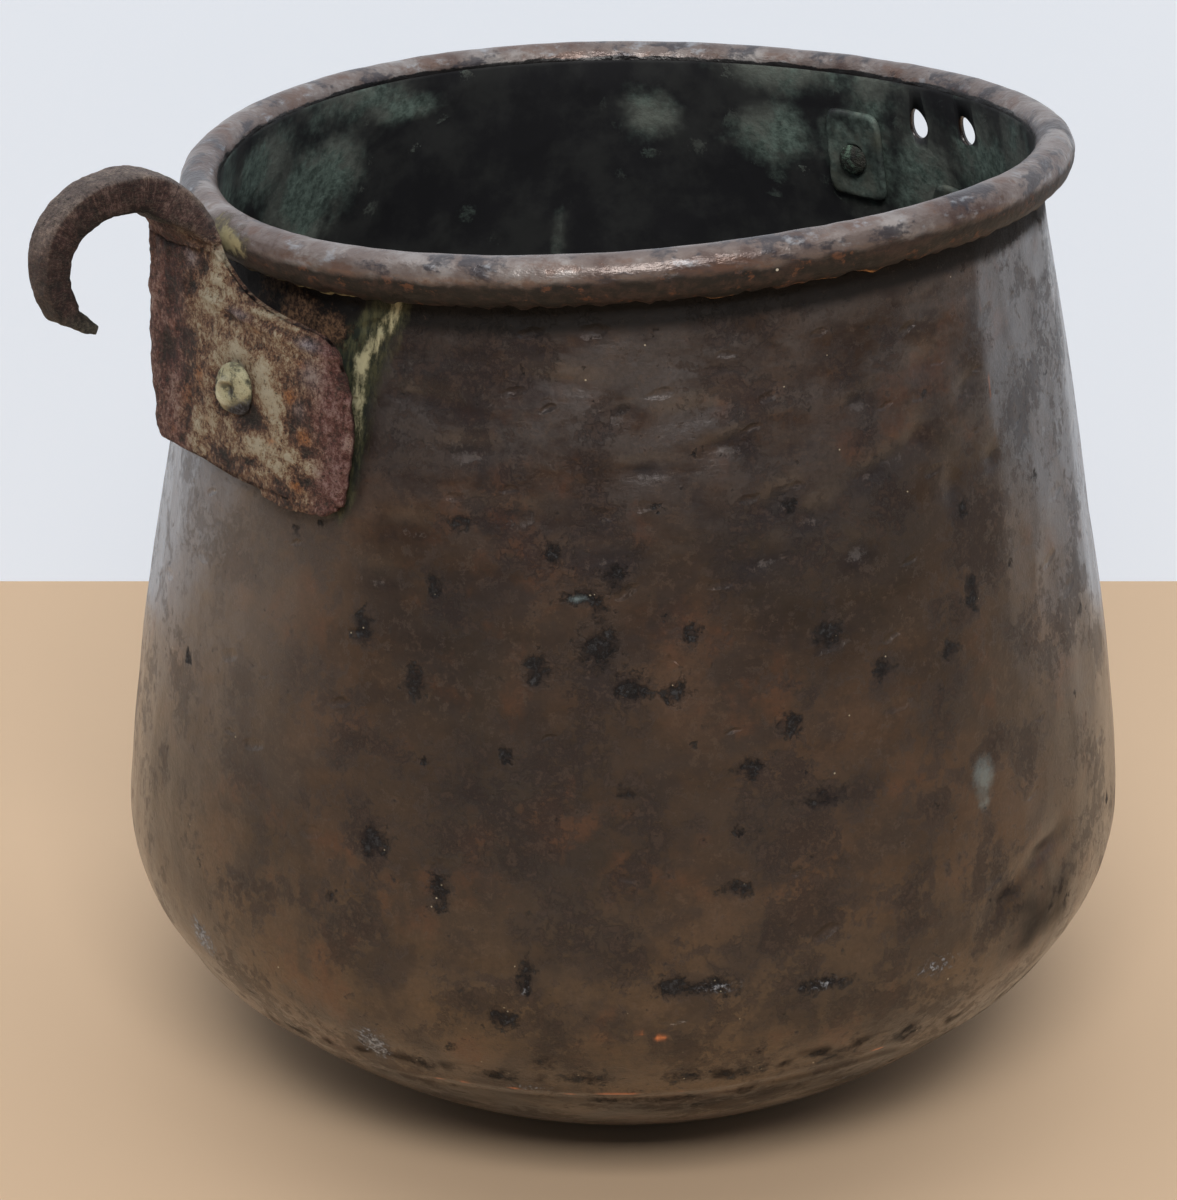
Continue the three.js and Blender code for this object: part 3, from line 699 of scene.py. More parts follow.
def worn_rim():
    """The rolled rim: satin beige grey with blue-grey patches, painted nearly black below as shade, its ragged edge
    rubbed bright.
    """
    look = Look("worn_rim")
    place, painted, cover = look.place, look.painted, look.cover
    flat = stretched(place, 1.0, 1.0, 2.4)
    streak = noise_at(flat, 130.0, 5, 0.65, 0.1)
    patch = noise_at(flat, 78.0, 4, 0.6, 0.1)
    grain = noise_at(place, 520.0, 4, 0.7)
    broad, fine = patch * 0.8 + grain * 0.2, streak * 0.6 + grain * 0.4
    worn = use(MOTTLE, Vector=place, Scale=60.0, Dark=(86, 70, 66), Middle=(114, 102, 98), Light=(148, 142, 140))
    look.colour = out(worn)
    cover(broad.between(0.52, 0.6) * 0.8, (54, 54, 62))
    cover(broad.between(0.46, 0.38) * 0.6, (104, 78, 66))
    cover(streak.between(0.56, 0.7) * 0.6, (164, 170, 178))
    cover(fine.between(0.42, 0.3) * 0.6, (62, 50, 50))
    # Painted shade: the roll's underside nearly black, with rust bits, and darker at the right end
    under = (painted("under") + (patch + streak) * 0.9 - 0.9).between(0.2, 0.85)
    belly = mix((grain * 0.5 + patch * 0.5).between(0.44, 0.6), (9, 7, 7), (48, 33, 29))
    cover(under, mix(fine.between(0.55, 0.62) * 0.5, belly, (112, 70, 44)))
    cover((painted("shade") + grain * 0.8 - 0.4).between(0.3, 0.6) * 0.95, (14, 14, 15))
    edge = (painted("lip") + grain * 0.8).between(0.85, 1.15)
    cover(edge, mix(grain.between(0.42, 0.62), (108, 62, 34), (206, 152, 96)))
    crust = use(CRUST, Vector=place, Painted=painted("green"), Scale=330.0, Cream=(170, 160, 122), Ochre=(104, 92, 62))
    crusted = out(crust, "Mask")
    cover(crusted, out(crust))
    stains = out(use(STAIN, Vector=place, Scale=150.0, Size=0.0011, Share=0.3))
    cover(stains * 0.7, (44, 38, 40))
    cover(out(use(SPECK, Vector=place, Scale=420.0, Share=0.08)), (196, 190, 176))
    knocks = out(use(DENT, Vector=place, Scale=110.0, Long=0.0025, High=0.0013, Lean=0.3, Share=0.5))
    height = streak * 0.15 + patch * 0.8 + grain * 0.12 - stains * 0.15 + out(crust, "Height") * 0.7
    return look.finish(
        height + knocks * 0.25, Metallic=(crusted + under).math("MINIMUM", 1.0).flipped() * 0.3,
        Roughness=crusted * 0.3 + streak * 0.25 + under * 0.3 + 0.2, Specular_IOR_Level=0.5)


def lining(name, deep, amount):
    """The inside of the pot and the plates there: nearly black, with clouds and dots of powdery verdigris."""
    look = Look(name)
    place = look.place
    soft = noise_at(place, 60.0, 5, 0.65)
    cloud = noise_at(place, 75.0, 4, 0.6)
    powder = noise_at(place, 420.0, 3, 0.7)
    area = look.painted("verdigris") + amount
    dots = use(STAIN, Vector=place, Scale=150.0, Size=0.0028, Share=area * 1.3 + 0.03)
    mask = (area * 1.05 + cloud * 1.2 + powder * 0.25).between(0.98, 1.75).math("MAXIMUM", out(dots) * 0.55)
    green = mix(powder.between(0.3, 0.7), (82, 98, 90), (128, 148, 138))
    look.colour = mix(soft.between(0.4, 0.65), (40, 40, 43), deep)
    look.cover(mask * 0.85, mix(soft.between(0.42, 0.58) * 0.8, green, (124, 128, 120)))
    blows = use(HAMMER, Vector=stretched(place, 1.0, 1.0, 0.6), Scale=110.0, Soft=0.3)
    return look.finish(out(blows) * 0.5 + mask * powder * 0.3, Roughness=mask * 0.25 + 0.5, Metallic=0.1)


def rusted_iron(name, crusty):
    """Forged iron under rust. Paint lifts its tones from dark scale through orange to pale crust."""
    look = Look(name)
    place, painted, cover = look.place, look.painted, look.cover
    scale = noise_at(place, 150.0, 9, 0.72, 0.1)
    fibre = noise_at(stretched(place, 1.0, 1.0, 0.85), 760.0, 6, 0.85, 0.1)
    grit = noise_at(place, 1700.0, 2, 0.6)
    level = scale * 0.9 + fibre * 1.6 - 0.44
    relief = scale * 2.0 + fibre * 1.8 + grit * 0.4
    if crusty:
        level = level + painted("crust") * 0.4 - painted("dark") * 0.34
    look.colour = ramp(
        level.between(0.46, 1.24), (0, 24, 17, 17), (0.2, 56, 36, 32), (0.38, 92, 60, 47), (0.52, 130, 90, 66),
        (0.66, 158, 128, 100), (0.82, 186, 170, 142), (1, 208, 200, 178))
    if crusty:
        orange = (painted("orange") * 0.5 + fibre * 0.9 + scale * 0.3).between(0.72, 1.05)
        cover(orange * 0.75, mix(grit.between(0.4, 0.6), (128, 70, 36), (196, 132, 74)))
        maroon = ramp(level.between(0.4, 1.1), (0, 34, 14, 16), (0.35, 78, 38, 36), (0.6, 108, 62, 58),
                      (0.85, 140, 102, 102), (1, 168, 134, 134))
        cover(painted("red") * (scale * 1.2 + 0.3).math("MINIMUM", 1.0), maroon)
        purple = ramp(level.between(0.4, 1.0), (0, 44, 38, 42), (0.6, 112, 100, 106), (1, 170, 160, 164))
        cover((painted("purple") + fibre * 0.5 - 0.25) * 1.1, purple)

        # The hook is dark forged metal with a painted highlight on its top, painted shade on its underside and bars
        # across it
        hook = painted("hook")
        bars = noise_at(vector_math("ADD", stretched(place, 0.1, 0.1, 0.1), painted("run")), 300.0, 5, 0.7)
        forged = ramp((level * 0.8 + bars * 0.6 - 0.16).between(0.42, 1.1), (0, 20, 12, 13), (0.35, 48, 29, 28),
                      (0.65, 76, 50, 46), (1, 138, 112, 104))
        top = ramp((level * 0.8 + bars * 0.3).between(0.42, 1.1), (0, 56, 45, 46), (0.4, 106, 92, 88),
                   (0.7, 134, 118, 110), (1, 176, 158, 146))
        shade = ramp(level.between(0.5, 1.3), (0, 10, 8, 9), (1, 52, 42, 38))
        cover(hook, mix(painted("shade"), mix(painted("top"), forged, top), shade))
        cover(painted("tip"), ramp(level.between(0.4, 1.1), (0, 36, 36, 35), (1, 132, 132, 118)))
        relief = relief * hook.math("MULTIPLY_ADD", -0.45, 1.0) + bars * hook * 1.6
        strands = noise_at(stretched(place, 1.0, 1.0, 2.2), 420.0, 3, 0.6, 0.6)
        strand = (strands - 0.5).math("ABSOLUTE").between(0.035, 0.0)
        cover(strand * (painted("crust") * 0.6 + 0.1), (214, 204, 178))
        relief = relief + strand * 0.35
    cover((grit * 0.5 + fibre * 0.5).between(0.45, 0.37) * 0.8, (20, 14, 14))
    return look.finish(relief, Roughness=fibre * 0.3 + 0.5, Metallic=0.05)


def green_crust(name, pale, deep, under, share):
    """Copper under a thick green or olive crust, darker where it is painted so."""
    look = Look(name)
    place, painted, cover = look.place, look.painted, look.cover
    metal = use(MOTTLE, Vector=place, Scale=160.0, Dark=(28, 28, 28), Middle=under, Light=(96, 88, 74))
    powder = use(VERDIGRIS, Vector=place, Scale=230.0, Amount=share, Deep=deep, Pale=pale)
    grain = noise_at(place, 900.0, 4, 0.75)
    look.colour = mix(out(powder, "Mask"), out(metal), out(powder))
    cover(painted("lip") * 0.75, (216, 212, 186))
    shade = (painted("shade") + grain * 0.5 - 0.25).between(0.1, 0.7)
    cover(shade, mix(grain.between(0.45, 0.65), (34, 34, 40), (96, 100, 112)))
    cover(grain.between(0.42, 0.34) * 0.7, (44, 42, 34))
    height = out(powder, "Height") * 0.5 + out(metal, "Value") * 0.6 + grain * 0.7
    return look.finish(height, Roughness=out(powder, "Mask") * 0.35 + 0.5)


COPPER = worn_sheet()
RIM = worn_rim()
LINING = lining("dark_lining", (56, 57, 57), 0.0)
PLATE_GREEN = lining("lining_plate", (82, 86, 74), 0.55)
EAR_IRON = rusted_iron("forged_ear_iron", True)
WIRE_IRON = rusted_iron("rusted_wire", False)
RIVET_OLIVE = green_crust("olive_rivet", (188, 184, 152), (120, 120, 92), (84, 84, 72), 0.9)
RIVET_GREEN = green_crust("green_rivet", (120, 146, 128), (56, 76, 64), (52, 52, 46), 0.8)


# ---- turned forms: the pot's sheet and its rivets ----

def turned_tree():
    """Geometry nodes that turn a line of points (radius along X, height along Z) about the upright axis,
    put the result out of true towards the rim, and beat it unevenly. Every point keeps its row."""
    tree, given, end = new_group("turned form", "GeometryNodeTree", {"Form": "Geometry"}, {
        "Line": "Geometry", "Divisions": 64, "Rim Height": 1.0, "Up Front": 0.0, "Up Right": 0.0, "Up Twist": 0.0,
        "Forward": 0.0, "Oval": 0.0, "Oval At": 0.0, "Three Sided": 0.0, "Beaten": 0.0, "Blow Size": 1.0,
        "Seed": 0.0, "Material": "Material",
    })
    rows = out(add("GeometryNodeAttributeDomainSize", {"Geometry": given["Line"]}), "Point Count")
    size = {"Vertices X": given["Divisions"] + 1.0, "Vertices Y": rows, "Size X": 1.0, "Size Y": 1.0}
    grid = add("GeometryNodeMeshGrid", size)
    index, position = (out(tree.nodes.new("GeometryNodeInput" + kind)) for kind in ("Index", "Position"))
    column = (index / rows).math("FLOOR")
    row = index - column * rows
    sample = add("GeometryNodeSampleIndex", {"Geometry": given["Line"], "Index": row}, data_type="FLOAT_VECTOR")
    plug(position, sample.inputs["Value"])
    point = add("ShaderNodeSeparateXYZ", {"Vector": out(sample)})
    radius, height = out(point, "X"), out(point, "Z")

    turn = column / given["Divisions"] * (2 * math.pi)
    ahead, aside = turn.math("COSINE"), turn.math("SINE")
    share = height / given["Rim Height"]
    rise = ahead * given["Up Front"] + aside * given["Up Right"] + (turn * 2.0).math("SINE") * given["Up Twist"]
    spread = ahead * given["Forward"] + ((turn - given["Oval At"]) * 2.0).math("COSINE") * given["Oval"]
    spread = spread + (turn * 3.0).math("COSINE") * given["Three Sided"]
    blow_at = add("ShaderNodeCombineXYZ", {"X": aside * radius, "Y": ahead * radius, "Z": height * 0.6})
    shifted = vector_math("ADD", out(blow_at), given["Seed"])
    blow = noise_at(shifted, given["Blow Size"].math("DIVIDE", 1.0), 1.0) - 0.5
    upper = share.between(0.12, 0.3) * share.between(1.0, 0.97)
    radius = radius + share * share * spread + blow * given["Beaten"] * upper
    place = add("ShaderNodeCombineXYZ", {"X": aside * radius, "Y": ahead * radius * -1.0, "Z": height + share * rise})
    formed = out(grid)
    for kind, inputs in (
        ("SetPosition", {"Position": out(place)}), ("StoreNamedAttribute", {"Name": "row", "Value": row}),
        ("MergeByDistance", {"Distance": 1e-6}), ("SetShadeSmooth", {}),
        ("SetMaterial", {"Material": given["Material"]}), ("RealizeInstances", {}),
    ):
        formed = out(add("GeometryNode" + kind, {"Geometry": formed, **inputs}))
    plug(formed, end.inputs["Form"])
    lay_out(tree)
    return tree


TURNED = turned_tree()


def turned(name, line, divisions, material, **inputs):
    """A plain mesh turned from a line of (radius, height) points in millimetres, and the row of each of its points."""
    mesh = bpy.data.meshes.new(name)
    mesh.from_pydata([(radius * MM, 0, height * MM) for radius, height in line], [], [])
    maker = new_object(name + "_line", mesh)
    modifier = maker.modifiers.new("turned", "NODES")
    modifier.node_group = TURNED
    values = {"Divisions": divisions, "Material": material}
    values.update((key.replace("_", " "), value) for key, value in inputs.items())
    for item in TURNED.interface.items_tree:
        if item.in_out == "INPUT" and item.name in values:
            modifier[item.identifier] = values[item.name]
    made = bpy.data.meshes.new_from_object(maker.evaluated_get(bpy.context.evaluated_depsgraph_get()))
    made.name = name
    bpy.data.objects.remove(maker)
    bpy.data.meshes.remove(mesh)
    row = read(made.attributes["row"].data, "value")
    made.attributes.remove(made.attributes["row"])
    return made, row


def arc(radius, start, stop, count):
    """An arc of the rolled rim about its wire, with its lower half drawn down."""
    turn = np.radians(np.linspace(start, stop, count))
    drop = np.where(np.sin(turn) < 0, CURL_DROP, 1)
    return [(RIM_RADIUS + radius * c, RIM_HEIGHT + radius * s * d) for c, s, d in zip(np.cos(turn), np.sin(turn), drop)]


def outside_line(base_rows, wall_rows):
    """The sheet's outer face as (radius, height), from the middle of the base to the roll."""
    share = 1 - (1 - np.arange(1, base_rows) / base_rows) ** 1.4
    curve = zip(BASE_FLAT + (BASE_EDGE_RADIUS - BASE_FLAT) * share, BASE_EDGE_HEIGHT * share ** BASE_POWER)
    return [(0, 0), (22, 0), (BASE_FLAT, 0), *curve, *(tuple(p) for p in smooth_through(WALL, wall_rows)[:, ::-1])]


def moved_in(line):
    """The same line moved into the pot by the sheet's thickness."""
    points = np.array(line)
    along = np.gradient(points, axis=0)
    along /= np.linalg.norm(along, axis=1)[:, None]
    inside = points + np.stack([-along[:, 1], along[:, 0]], 1) * SHEET
    inside[0] = (0, SHEET)
    return [tuple(p) for p in inside]


def pot_sheet():
    """The copper sheet, beaten, creased and rolled over at the rim, with its materials' masks."""
    outside = outside_line(BASE_ROWS, WALL_ROWS)
    curl_in = arc(CURL_INNER, 180, CURL_END, CURL_INNER_ROWS)
    curl_out = arc(CURL_OUTER, CURL_END, 180, CURL_OUTER_ROWS)
    inside = moved_in(outside_line(INSIDE_ROWS // 4, INSIDE_ROWS))[::-1]
    mesh, row = turned(
        "pot_sheet", outside + curl_in + curl_out + inside, DIVISIONS, COPPER, Rim_Height=RIM_HEIGHT * MM,
        Up_Front=RIM_UP_FRONT * MM, Up_Right=RIM_UP_RIGHT * MM, Up_Twist=RIM_UP_TWIST * MM, Forward=MOUTH_FORWARD * MM,
        Oval=MOUTH_OVAL * MM, Oval_At=math.radians(MOUTH_OVAL_AT), Three_Sided=MOUTH_THREE_SIDED * MM,
        Beaten=0.9 * MM, Blow_Size=55.0, Seed=0.4,
    )
    points = points_of(mesh)
    turn = np.arctan2(points[:, 0], -points[:, 1])
    height = points[:, 2]
    first_curl = len(outside) - 0.5
    first_outer = first_curl + len(curl_in)
    first_inside = first_outer + len(curl_out)
    on_curl = (row >= first_curl) & (row < first_inside)
    on_bead = on_curl & (row >= first_outer)
    radial = np.stack([np.sin(turn), -np.cos(turn), 0 * turn], 1)

    # Blows and facets move both faces of the sheet together
    push, groove, rubbed_lip = np.zeros((3, len(points)))
    for at, middle, long, high, tilt, depth in BLOWS:
        across, up = along_wall(turn, at, middle), height - middle
        lean = math.radians(tilt)
        u = across * math.cos(lean) - up * math.sin(lean)
        v = across * math.sin(lean) + up * math.cos(lean)
        push -= BLOW_DEPTH * depth * np.exp(-(u / long) ** 4 - (v / high) ** 2) * np.where(v < 0, 1, 0.8)
        # Small blows also get painted shade along their upper side and a painted highlight along their lower lip
        if high < SHARP_BLOW:
            groove = np.maximum(groove, hump(1.4 * u / long, (v - 0.5) / 1.3))
            rubbed_lip = np.maximum(rubbed_lip, hump(1.5 * u / long, v + high))
    for at, half, depth in FACETS:
        share = np.clip(np.abs(angle_apart(turn, at)) / half, 0, 1)
        push -= depth * (1 - share ** 2) * fade(height, FACETS_FROM, FACETS_FULL)
    over = height - np.interp(angle_apart(turn, 0), *np.array(CREASE).T)
    push += (row < first_curl) * (0.4 * hump((over - 1) / 1.1) - 0.55 * hump((over + 1.6) / 1.3))
    push[on_curl] = 0
    points += radial * push[:, None]

    # The rolled rim: uneven roll, lip higher at the left and right, ragged lower edge
    centre = RIM_HEIGHT + rim_rise(turn)
    ring = np.stack([np.cos(turn), np.sin(turn), 0 * turn], 1) * 100
    shallow = 1 - 0.2 * band(turn, -140, -62, 30) - 0.1 * band(turn, 60, 150, 30)
    points[:, 2] = np.where(on_curl & (height < centre), centre + (height - centre) * shallow, height)
    from_middle = np.hypot(points[:, 0], points[:, 1]) - (RIM_RADIUS + rim_spread(turn))
    lumps = wobble(ring[on_curl], 14, 1) * 0.035 + wobble(points[on_curl], 5, 2) * 0.03
    points[on_curl] += radial[on_curl] * (from_middle[on_curl] * lumps)[:, None]
    points[on_curl, 2] += (points[on_curl, 2] - centre[on_curl]) * lumps
    outer_turn = (row - first_outer - 0.5) / (len(curl_out) - 1)
    inner_turn = 1 - (row - first_curl - 0.5) / (len(curl_in) - 1)
    lip = on_curl * np.clip(1 - np.where(on_bead, outer_turn, inner_turn) / 0.2, 0, 1)
    jag = wobble(ring, 3.1, 3) * 0.7 + wobble(ring, 1.3, 4) * 0.35
    points[:, 2] += lip * (jag * LIP_RAGGED - 0.2)
    points += radial * (lip * wobble(ring, 4.5, 5) * 0.5)[:, None]
    set_points(mesh, within(points))

    # Which of the three materials each face has
    corners = read(mesh.loops, "vertex_index", kind=np.int32)
    starts = read(mesh.polygons, "loop_start", kind=np.int32)
    inside_faces = np.minimum.reduceat(row[corners], starts) >= first_inside - 2
    kind = np.where(inside_faces, 2, np.minimum.reduceat(on_bead[corners], starts))
    for material in (RIM, LINING):
        mesh.materials.append(material)
    mesh.polygons.foreach_set("material_index", kind.astype(np.int32))

    def at(places):
        return spots(turn, height, places)

    # Masks along the rim, along the crease and beside the ear
    inward = (outer_turn - 0.9 + 0.03 * wobble(ring, 6, 41)) / 0.04
    lip_worn = lip * (0.35 + 0.65 * band(turn, 8, 34, 8)) * np.clip(wobble(ring, 6, 6) + 0.8, 0, 1)
    worn_crease = hump((over - 0.6) / 0.9) * np.clip(wobble(ring, 6, 7) * 2.2 + 0.25, 0, 1)
    ridge_patches = np.clip(wobble(points, 9, 17) * 2 + 0.5, 0, 1)
    ridge_line = hump(angle_apart(turn, 49) / 0.7) * fade(height, 130, 170) * ridge_patches
    levels, strip_at, strip_wide = np.array(GREEN_STRIP).T
    from_strip = angle_apart(turn, 0) - np.interp(height, levels, strip_at)
    strip = hump(from_strip / np.interp(height, levels, strip_wide)) * fade(height, 168, 173)
    strip *= (1 - 0.5 * fade(height, 192, 182)) * (0.85 + 0.3 * wobble(points * (1, 1, 0.3), 2, 31))
    neck = hump(angle_apart(turn, -58) / 8, (height - 224) / 5)
    green_rim = np.maximum(neck * 0.8, band(turn, -62, -34, 3) * lip * 1.2)
    mossy = hump((from_strip + 0.8) / np.interp(height, levels, strip_wide * 1.5 + 0.9))
    # Painted sheen on the left side of the wall
    haze = band(turn, -84, -38, 16) * fade(height, 95, 135) * fade(height, 200, 175)

    # Painted shadow and shade with dark blotches, and grey film with painted sheen at the sides
    # Painted shadow under the rolled rim
    under_bead = np.exp(-np.clip((centre - 9 - height) / 5.5, 0, 9) ** 2) * 1.1
    behind_ear = band(turn, -70, -32, 4) * fade(height, 162, 174) * 0.8
    # Painted shade in the low dents and hollow at the right
    dents = at(LOW_RIGHT_DENTS) * (0.7 + 0.2 * wobble(points, 8, 15))
    foot = hump((over - 6) / 4) * np.clip(wobble(points, 6, 13) * 1.8 + 0.5, 0, 1) * 0.75
    base_patches = hump((over + 5) / 4) * np.clip(wobble(ring, 6, 14) * 2 + 0.3, 0, 1) * 0.65
    base = fade(-over, 0.5, 2.5) * 0.56
    # Painted sheen: the grey film also covers the right and left sides
    right_side = band(turn, 54, 110, 10) * fade(height, 90, 140)
    left_side = band(turn, -110, -52, 14) * fade(height, 90, 150) * 0.9
    cool = np.maximum.reduce([fade(height, 160, 200), right_side, left_side])
    paint(
        # under: painted shade on the roll's underside, darker at the right end; groove: painted shade on small blows
        mesh, under=np.clip((centre + 2 - height) / 3.6, 0, 1) + 0.3 * band(turn, 66, 130, 20), groove=groove,
        # rubbed_lip: painted highlight on the lower lip of small blows
        shade=on_bead * np.clip(inward, 0, 1), lip=lip_worn, rubbed_lip=rubbed_lip,
        pits=np.maximum(at(PITS), at(CREASE_BLOTS) * 0.62),
        bare=np.maximum.reduce([at(BRIGHT_COPPER) * 0.6, worn_crease, ridge_line * 0.8, at(COPPER_NICKS)]),
        lime=np.maximum(at(LIME_CRUST), at(LIME_GRAINS) * 0.5), blue=at(BLUE_GREY), rust=at(RUST_BY_EAR),
        green=np.where(on_bead, green_rim, strip), moss=mossy * fade(height, 166, 172),
        haze=haze * (0.8 + 0.3 * wobble(points, 20, 19)), verdigris=at(VERDIGRIS_INSIDE),
        # grime: painted shadow under the rim, painted shade in dents and at the upper right, with dark blotches at the
        # foot and base
        grime=np.maximum.reduce([under_bead, behind_ear, dents, at(RIGHT_SHADE) * 0.46, foot, base_patches, base]),
        # cool: grey film high up and painted sheen at the sides
        low=(100 - height) / 60, cool=cool * (0.75 + 0.25 * wobble(points, 25, 8)), side=1 - band(turn, -66, 46, 10),
    )
    return mesh


def punch(mesh):
    """Cuts the two open holes through the far wall."""
    sheet = new_object("sheet_to_punch", mesh)
    used = [sheet]
    count = 28
    around = np.linspace(0, 2 * math.pi, count, endpoint=False)
    for at, height, wide, high in PUNCHED_HOLES:
        turn = math.radians(at)
        ragged = 1 + 0.06 * np.cos(around * 3 + at)
        side = (np.cos(around) * wide / 2 * ragged)[:, None] * (math.cos(turn), math.sin(turn), 0)
        up = (np.sin(around) * high / 2 * ragged)[:, None] * (0, 0, 1)
        loops = [on_wall(turn, np.array([height]), reach)[0] + side + up for reach in (-8, 1.2)]
        faces = ring_faces(2, count) + [tuple(range(count))[::-1], tuple(range(count, 2 * count))]
        tool = new_object("punch", mesh_of("punch", np.concatenate(loops), faces))
        cut = sheet.modifiers.new("punch", "BOOLEAN")
        cut.operation, cut.solver, cut.object = "DIFFERENCE", "EXACT", tool
        used.append(tool)
    bpy.context.view_layer.update()
    made = bpy.data.meshes.new_from_object(sheet.evaluated_get(bpy.context.evaluated_depsgraph_get()))
    for thing in used:
        bpy.data.objects.remove(thing)
    made.name = "pot_sheet"
    made.shade_smooth()
    return made


# ---- the forged ear ----

def ear_point(along, outward, height):
    """A point of the ear; right of the rivet the plate is beaten round to follow the wall."""
    turn = math.radians(EAR_AT)
    bend = np.maximum(along, 0) / EAR_BEND_RADIUS
    reach = EAR_BEND_RADIUS + outward - EAR_BACK_AT_FOOT
    aside = np.where(along > 0, reach * np.sin(bend), along)
    away = outward - np.where(along > 0, reach * (1 - np.cos(bend)), 0)
    x, y = away * math.sin(turn) + aside * math.cos(turn), -away * math.cos(turn) + aside * math.sin(turn)
    return np.stack([x, y, height], -1)


def ear_section(left, right, middle_out, middle_height, across, thick, edge):
    """A closed section: outer face from left to right, then inner face back, with rounded ends."""
    share = -np.cos(np.linspace(0, math.pi, FACE_STEPS))
    along = (left + right) / 2 + share * (right - left) / 2
    flat = np.sqrt(np.clip(1 - share ** 4, 0, 1))
    half = (edge + (thick - edge) * flat) / 2 * (1 - 0.4 * np.clip(np.abs(share) * 14 - 13, 0, 1) ** 2)
    outer, inner = (
        ear_point(along, middle_out + across[0] * reach, middle_height + across[1] * reach) for reach in (half, -half))
    return np.concatenate([outer, inner[::-1][1:-1]])


def ear_spots(across, height, places):
    """Soft oval spots on the ear's face, each with its own strength."""
    return np.maximum.reduce([
        strength * hump((across - along) / wide, (height - middle) / high)
        for along, middle, wide, high, strength in places])


def plate_middle(height):
    """How far out the middle of the ear's plate is."""
    return EAR_BACK_AT_FOOT + EAR_LEAN * (height - EAR_FOOT) + EAR_THICK / 2


def ear_mesh():
    sections = []
    upright = np.array([1, -EAR_LEAN]) / math.hypot(1, EAR_LEAN)
    rows = smooth_through(EAR_PLATE, PLATE_STEPS)
    for height, left, right in rows[np.argsort(rows[:, 0])]:
        left += 0.5 * noise.noise(Vector((height / 4, 1, 0)))
        right += 0.7 * noise.noise(Vector((height / 3, 7, 0)))
        sections.append(ear_section(left, right, plate_middle(height), height, upright, EAR_THICK, EAR_EDGE))
    line = smooth_through(HOOK, HOOK_STEPS)
    along = np.gradient(line[:, :2], axis=0)
    along /= np.linalg.norm(along, axis=1)[:, None]
    for step, (away, height, middle, wide, thick) in enumerate(line):
        across = upright if step == 0 else (along[step][1], -along[step][0])
        ends = middle - wide / 2, middle + wide / 2
        sections.append(ear_section(*ends, away, height, across, thick, thick * HOOK_SQUARE))
    columns = len(sections[0])
    points = np.concatenate(sections)
    last = (len(sections) - 1) * columns
    caps = [tuple(range(columns))[::-1], tuple(range(last, last + columns))]
    mesh = mesh_of("ear_forging", points, ring_faces(len(sections), columns) + caps)

    # Forged and rusted relief
    turn = math.radians(EAR_AT)
    side_way, out_way = np.array([(math.cos(turn), math.sin(turn), 0), (math.sin(turn), -math.cos(turn), 0)])
    across, away, height = points @ side_way, points @ out_way, points[:, 2]
    normals = read(mesh.vertex_normals, "vector", 3)
    facing_out = normals @ out_way
    hook = np.maximum(fade(height, 222, 230), away > HOOK_FROM)
    relief = wobble(points, 7, 1) * 0.35 + wobble(points, 2.6, 2) * 0.3 + wobble(points, 1.2, 3) * 0.22
    from_rivet = np.hypot(across, height - EAR_RIVET["height"])
    relief += hump((from_rivet - 10) / 3.5) * (0.35 + 0.45 * wobble(points, 2, 5))
    cream, dark = ear_spots(across, height, EAR_CREAM), ear_spots(across, height, EAR_DARK)
    relief += 0.4 * cream - 0.5 * dark
    fold = height - (210.6 - 0.09 * across)
    relief += fade(across, -18, -14) * (hook < 0.3) * (0.7 * hump(fold / 1.1) - 0.5 * fade(fold, 0, 3))
    relief += 0.9 * hump((across + 26) / 7) * fade(height, 205, 219) * (hook < 0.5)
    relief = np.where(hook > 0.5, relief * 0.7, relief)
    inner_face = (facing_out < -0.5) & (hook < 0.5)
    relief = np.where(inner_face, relief * 0.3 - 0.2, relief)
    clear_of_rivet = np.where((hook < 0.5) & (relief > 0), fade(from_rivet, 6.2, 8.2), 1)
    set_points(mesh, within(points + normals * (relief * clear_of_rivet)[:, None]))

    outer = ~inner_face
    patches = (0.85 + 0.4 * wobble(points, 3, 9)) * outer
    away_by, up_by = away - HOOK_MIDDLE[0], height - HOOK_MIDDLE[1]
    to_middle = -(away_by * facing_out + up_by * normals[:, 2]) / np.hypot(away_by, up_by)
    ragged = wobble(points, 3, 21) * 0.25
    # Painted highlight on the hook's top and painted shade on its inner side
    top = np.clip((-to_middle - 0.1 + ragged + wobble(points, 6, 22) * 0.3) / 0.4, 0, 1)
    right_rim = np.clip((across - 22 + wobble(points, 6, 11) * 3) / 6, 0, 1)
    left_rim = np.clip((-across - 18 + wobble(points, 6, 12) * 3) / 6, 0, 1) * 0.75
    paint(
        mesh, crust=cream * patches, orange=ear_spots(across, height, EAR_ORANGE) * patches, dark=dark * outer,
        purple=ear_spots(across, height, EAR_PURPLE) * outer, red=np.maximum(right_rim, left_rim) * 0.9,
        hook=np.maximum(np.clip((height - 221 + (across + 10) * 0.15) / 7, 0, 1), away > HOOK_FROM),
        run=(np.arange(len(points)) // columns) / (len(sections) - 1),
        # shade and top: painted shade on the hook's inner side and a painted highlight on its top
        shade=np.clip((to_middle - 0.05 + ragged) / 0.4, 0, 1) * hook,
        top=top * np.clip(0.35 + 0.8 * normals[:, 2] + 0.5 * wobble(points, 5, 23), 0.15, 1) * hook,
        tip=fade(height, 211, 206) * (away > 120) * 0.85,
    )
    return mesh


# ---- rivets and inner plates ----

def wall_slope(rivet):
    turn = math.radians(rivet["at"])
    return float((wall_radius(turn, rivet["height"] + 4) - wall_radius(turn, rivet["height"] - 4)) / 8)


